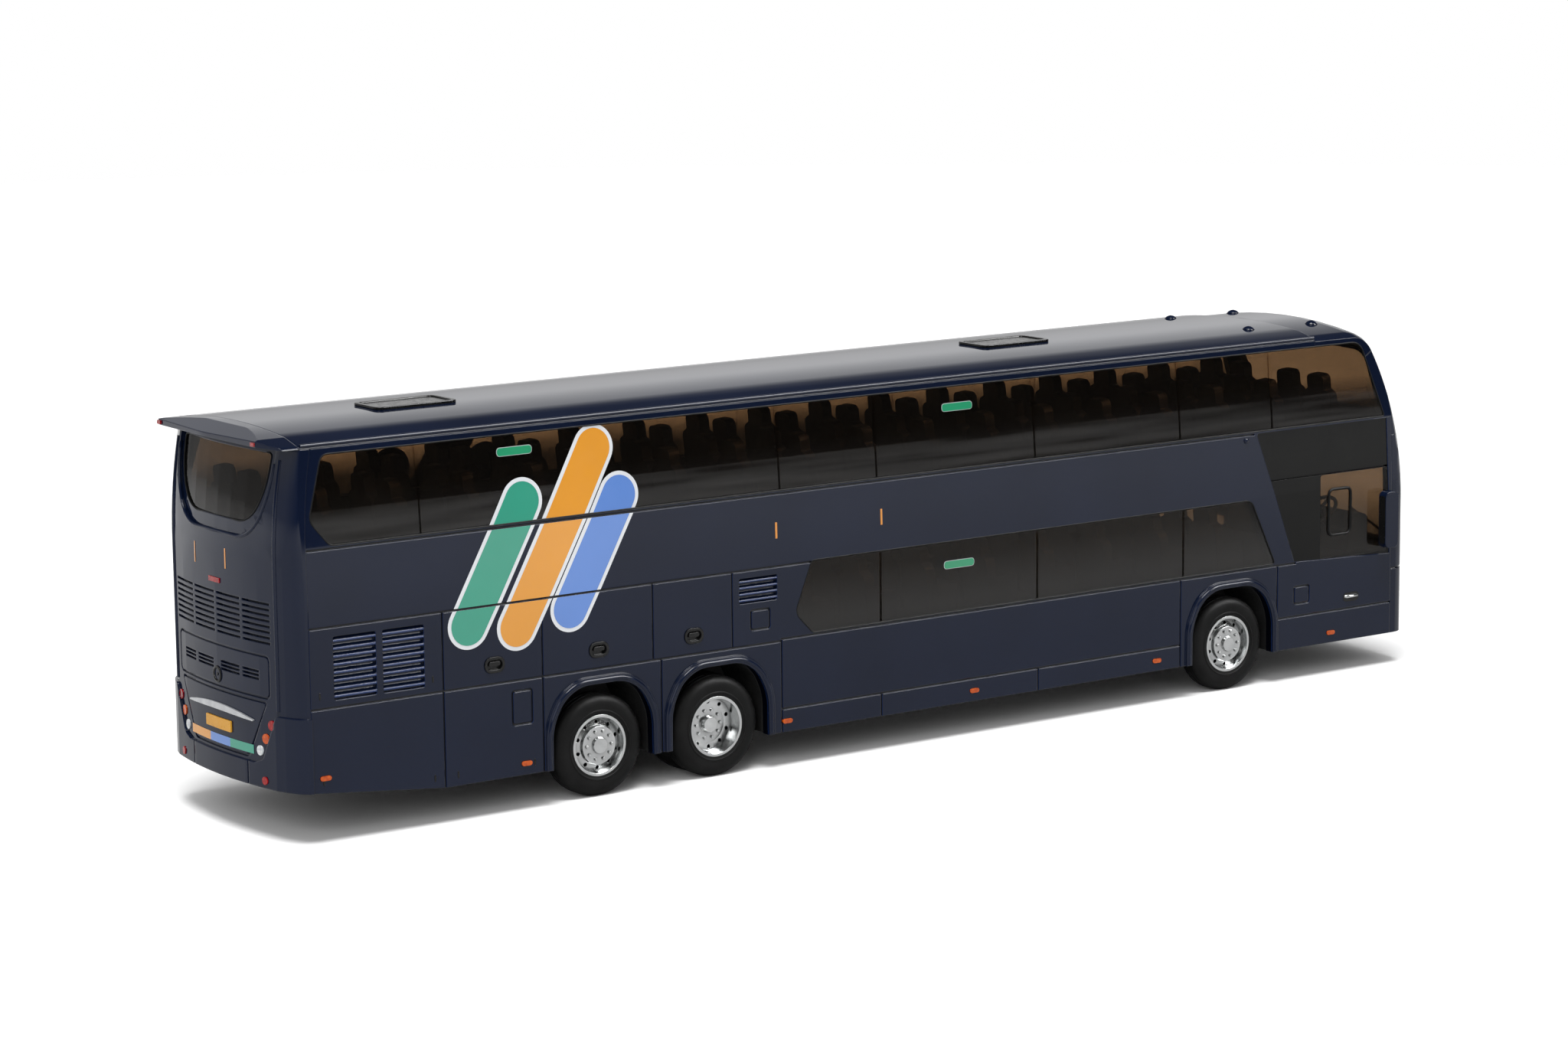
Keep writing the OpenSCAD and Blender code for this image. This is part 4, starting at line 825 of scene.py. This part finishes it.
# rubber round the windows and the driver's sliding pane
rubberBook = {"upper": ((-85.8, 47.4, 1.2), (-88.0, 39.6, 1.6), (-85.4, 36.4, 1.4), (87.0, 36.4, 0.3),
                        (82.8, 47.4, 2.2)),
              "lower": ((-14.7, 26.8, 0.8), (-17.4, 20.1, 1.6), (-14.6, 17.2, 1.0), (66.0, 17.2, 0.4),
                        (61.4, 26.8, 1.6)),
              "rear": ((-11.1, 47.4, 0.5), (-10.8, 43.2, 10), (-7.9, 38.7, 5), (7.9, 38.7, 5),
                       (10.8, 43.2, 10), (11.1, 47.4, 0.5)),
              "slider": ((76.1, 20.2, 0.8), (80.3, 20.2, 0.8), (80.3, 26.8, 0.8), (76.1, 26.8, 0.8)),
              "sink": 0.1, "rearSink": 0.38, "sliderSink": 0.05, "radius": 0.13, "frame": 0.22}
loops = []
for key in ("upper", "lower"):
    loops += onSides(roundedLoop(rubberBook[key], 8), -rubberBook["sink"])
loops.append(onTail(roundedLoop(rubberBook["rear"], 8), rubberBook["rearSink"]))
stripPiece("windowRubbers", loops, rubberBook["radius"], "gasket", "black_trim", 8, True)
slider = onSides(roundedLoop(rubberBook["slider"]), -rubberBook["sliderSink"])[0]
stripPiece("slidingPaneFrame", [slider], rubberBook["frame"], "gasket", "black_trim", 10, True)

# raised creases down both edges of the rear
creaseBook = {"y": 13.0, "ends": (16.3, 46.8), "radius": 0.3, "sink": 0.1, "steps": 16}
heights = evenly(*creaseBook["ends"], creaseBook["steps"])
creases = [onTail([(way * creaseBook["y"], z) for z in heights], creaseBook["sink"]) for way in (1, -1)]
stripPiece("rearCreases", creases, creaseBook["radius"], "paint", "navy_paint", 10)

# rolled edge of the recess round the rear window
recessBook = {"corners": [(-12.2, 49.2, 0), (-12.0, 43.0, 14), (-8.7, 36.8, 6)], "top": 46.6, "radius": 0.22,
              "sink": 0.06}
mirrored = [(-y, z, r) for y, z, r in reversed(recessBook["corners"])]
lip = [q for q in roundedLoop(recessBook["corners"] + mirrored, 12) if q.y < recessBook["top"]]
lip = onTail(lip, recessBook["sink"])
stripPiece("rearRecessLip", [lip], recessBook["radius"], "paint", "navy_paint", 12)
print("strips: arches, gutters, rubbers, creases, rear recess")

# front row of seats on the upper deck
seatBook = {"x": 79.2, "ys": (-11.6, -5.2, 5.2, 11.6), "floor": 29.8, "height": 13.0, "half": 2.8,
            "headrest": 0.6, "shoulder": 2.6, "neck": 2.2, "back": 1.5, "rake": 6,
            "cushion": (0.2, 3.9, 4.4)}


def prism(loop, near, far):  # a loop carried from one side to the other
    n = len(loop)
    verts = [near(q) for q in loop] + [far(q) for q in loop]
    faces = [list(range(n)), list(range(2 * n - 1, n - 1, -1))]
    return verts, faces + [[k, (k + 1) % n, n + (k + 1) % n, n + k] for k in range(n)]


def frontSeat(b, y):
    h, w = b["height"], b["half"]
    head = w * b["headrest"]
    edge = [(w, 0.0, 0), (w, h - b["shoulder"], 1.1), (head, h - b["neck"], 0.3), (head, h, 0.8)]
    back = roundedLoop(edge + [(-q, z, r) for q, z, r in reversed(edge)])
    start, length, deep = b["cushion"]
    pad = roundedLoop([(start, 0.0, 0), (length, 0.0, 0.4), (length, deep, 1.2), (start, deep, 0.3)])
    lean = math.radians(b["rake"])

    def raked(t):
        return lambda q: (b["x"] + t * math.cos(lean) - q.y * math.sin(lean), y + q.x,
                          b["floor"] + q.y * math.cos(lean) + t * math.sin(lean))

    def aside(by):
        return lambda q: (b["x"] + q.x, y + by, b["floor"] + q.y)

    return gather([prism(back, raked(0.0), raked(b["back"])), prism(pad, aside(-w), aside(w))])


row = gather([frontSeat(seatBook, y) for y in seatBook["ys"]])
addPiece("frontRowSeats", row, "interior", "interior_plastic")

# catches along the lower lockers and a bead on the belt
catchBook = {"catches": ((-87.25, 7.7), (-71.8, 6.0), (-68.5, 6.0), (-57.4, 6.0), (-87.5, 18.3),
                         (-71.8, 18.4)),
             "size": (0.13, 0.09, 0.5), "beads": ((60.5, 35.3),), "beadSize": (0.42, 0.3, 0.42)}
beadPiece("lockerCatches", catchBook["catches"], catchBook["size"], "trim", "black_trim")
beadPiece("beltBeads", catchBook["beads"], catchBook["beadSize"], "paint", "navy_paint")

# prints on the rear: a three-colour stripe and two divider bars
rearBook = {"stripe": (("orange", 8.0, 2.4), ("blue", 2.4, -2.7), ("green", -2.7, -8.0)),
            "z": (10.35, 11.45), "lift": 0.03, "steps": 8,
            "bars": ((5.35, 32.2, 34.8), (-2.85, 32.5, 35.0)), "barHalf": 0.14, "barSteps": 2}


def tailPatch(y0, y1, z0, z1, lift, steps):
    verts, faces = [], []
    for y in evenly(y0, y1, steps):
        verts += [(tailX(y, z, lift), y, z) for z in (z0, (z0 + z1) / 2, z1)]
    for k in range(steps):
        for j in range(2):
            faces.append([3 * k + j, 3 * k + 3 + j, 3 * k + 4 + j, 3 * k + 1 + j])
    return verts, faces


def rearPrints(b):
    for colour, y0, y1 in b["stripe"]:
        patch = tailPatch(y0, y1, *b["z"], b["lift"], b["steps"])
        addPiece(colour + "RearStripe", patch, colour, "navy_paint")
    h = b["barHalf"]
    bars = [tailPatch(y + h, y - h, z0, z1, b["lift"], b["barSteps"]) for y, z0, z1 in b["bars"]]
    addPiece("rearBars", gather(bars), "dividerOrange", "navy_paint")


rearPrints(rearBook)

# round lock on the engine door
lockBook = {"y": 0.0, "z": 19.0, "segments": 40,
            "ring": ((1.05, -0.1), (1.05, 0.1), (0.95, 0.16), (0.82, 0.16), (0.74, 0.08), (0.7, -0.02),
                     (0.24, -0.04), (0.2, 0.08), (0.0, 0.1), (0.0, -0.1))}


def spunOnTail(b):
    verts, faces = lathe(b["ring"], b["segments"])
    return [(tailX(b["y"], b["z"]) - d, b["y"] + a, b["z"] + c) for a, d, c in verts], faces


addPiece("engineLock", spunOnTail(lockBook), "trim", "black_trim")

# bright grip in a dark recess ahead of the front wheel
gripBook = {"recess": (80.55, 10.85, 1.5, 0.65, 0.6), "lift": 0.03, "panel": ((0.0, 27.0, 0.0),),
            "bar": (79.5, 81.6, 10.95), "radius": 0.24, "stand": 0.2, "root": 0.1, "bend": 0.12}


def addGrip(b):
    recess = wallPatch(boxLoop(*b["recess"]), b["lift"], b["panel"])
    addPiece("gripRecess", recess, "trim", "black_trim")
    x0, x1, z = b["bar"]
    root, out = -wall["half"] + b["root"], -wall["half"] - b["stand"]
    bar = [(x0, root, z), (x0 + b["bend"], out, z), (x1 - b["bend"], out, z), (x1, root, z)]
    stripPiece("gripBar", [bar], b["radius"], "chrome", "silver_trim", 12)


addGrip(gripBook)

# dark glass in the mirrors' rear faces
mirrorBook = {"width": 1.5, "in": (0.14, 0.6), "lift": 0.02, "corner": 0.5}


def mirrorGlass(b, node, way):
    low, high = (tuple(c / mm for c in corner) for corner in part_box(node))
    outer = low[1] if way < 0 else high[1]
    y, z = outer - way * b["width"] / 2, (low[2] + high[2]) / 2
    halfY, halfZ = b["width"] / 2 - b["in"][0], (high[2] - low[2]) / 2 - b["in"][1]
    loop = boxLoop(y, z, halfY, halfZ, b["corner"])
    x = low[0] - b["lift"]
    return [(x, q.x, q.y) for q in reversed(loop)], [list(range(len(loop)))]


glasses = gather([mirrorGlass(mirrorBook, "mirror_right", -1), mirrorGlass(mirrorBook, "mirror_left", 1)])
addPiece("mirrorGlasses", glasses, "trim", "black_trim")
print("small fittings")
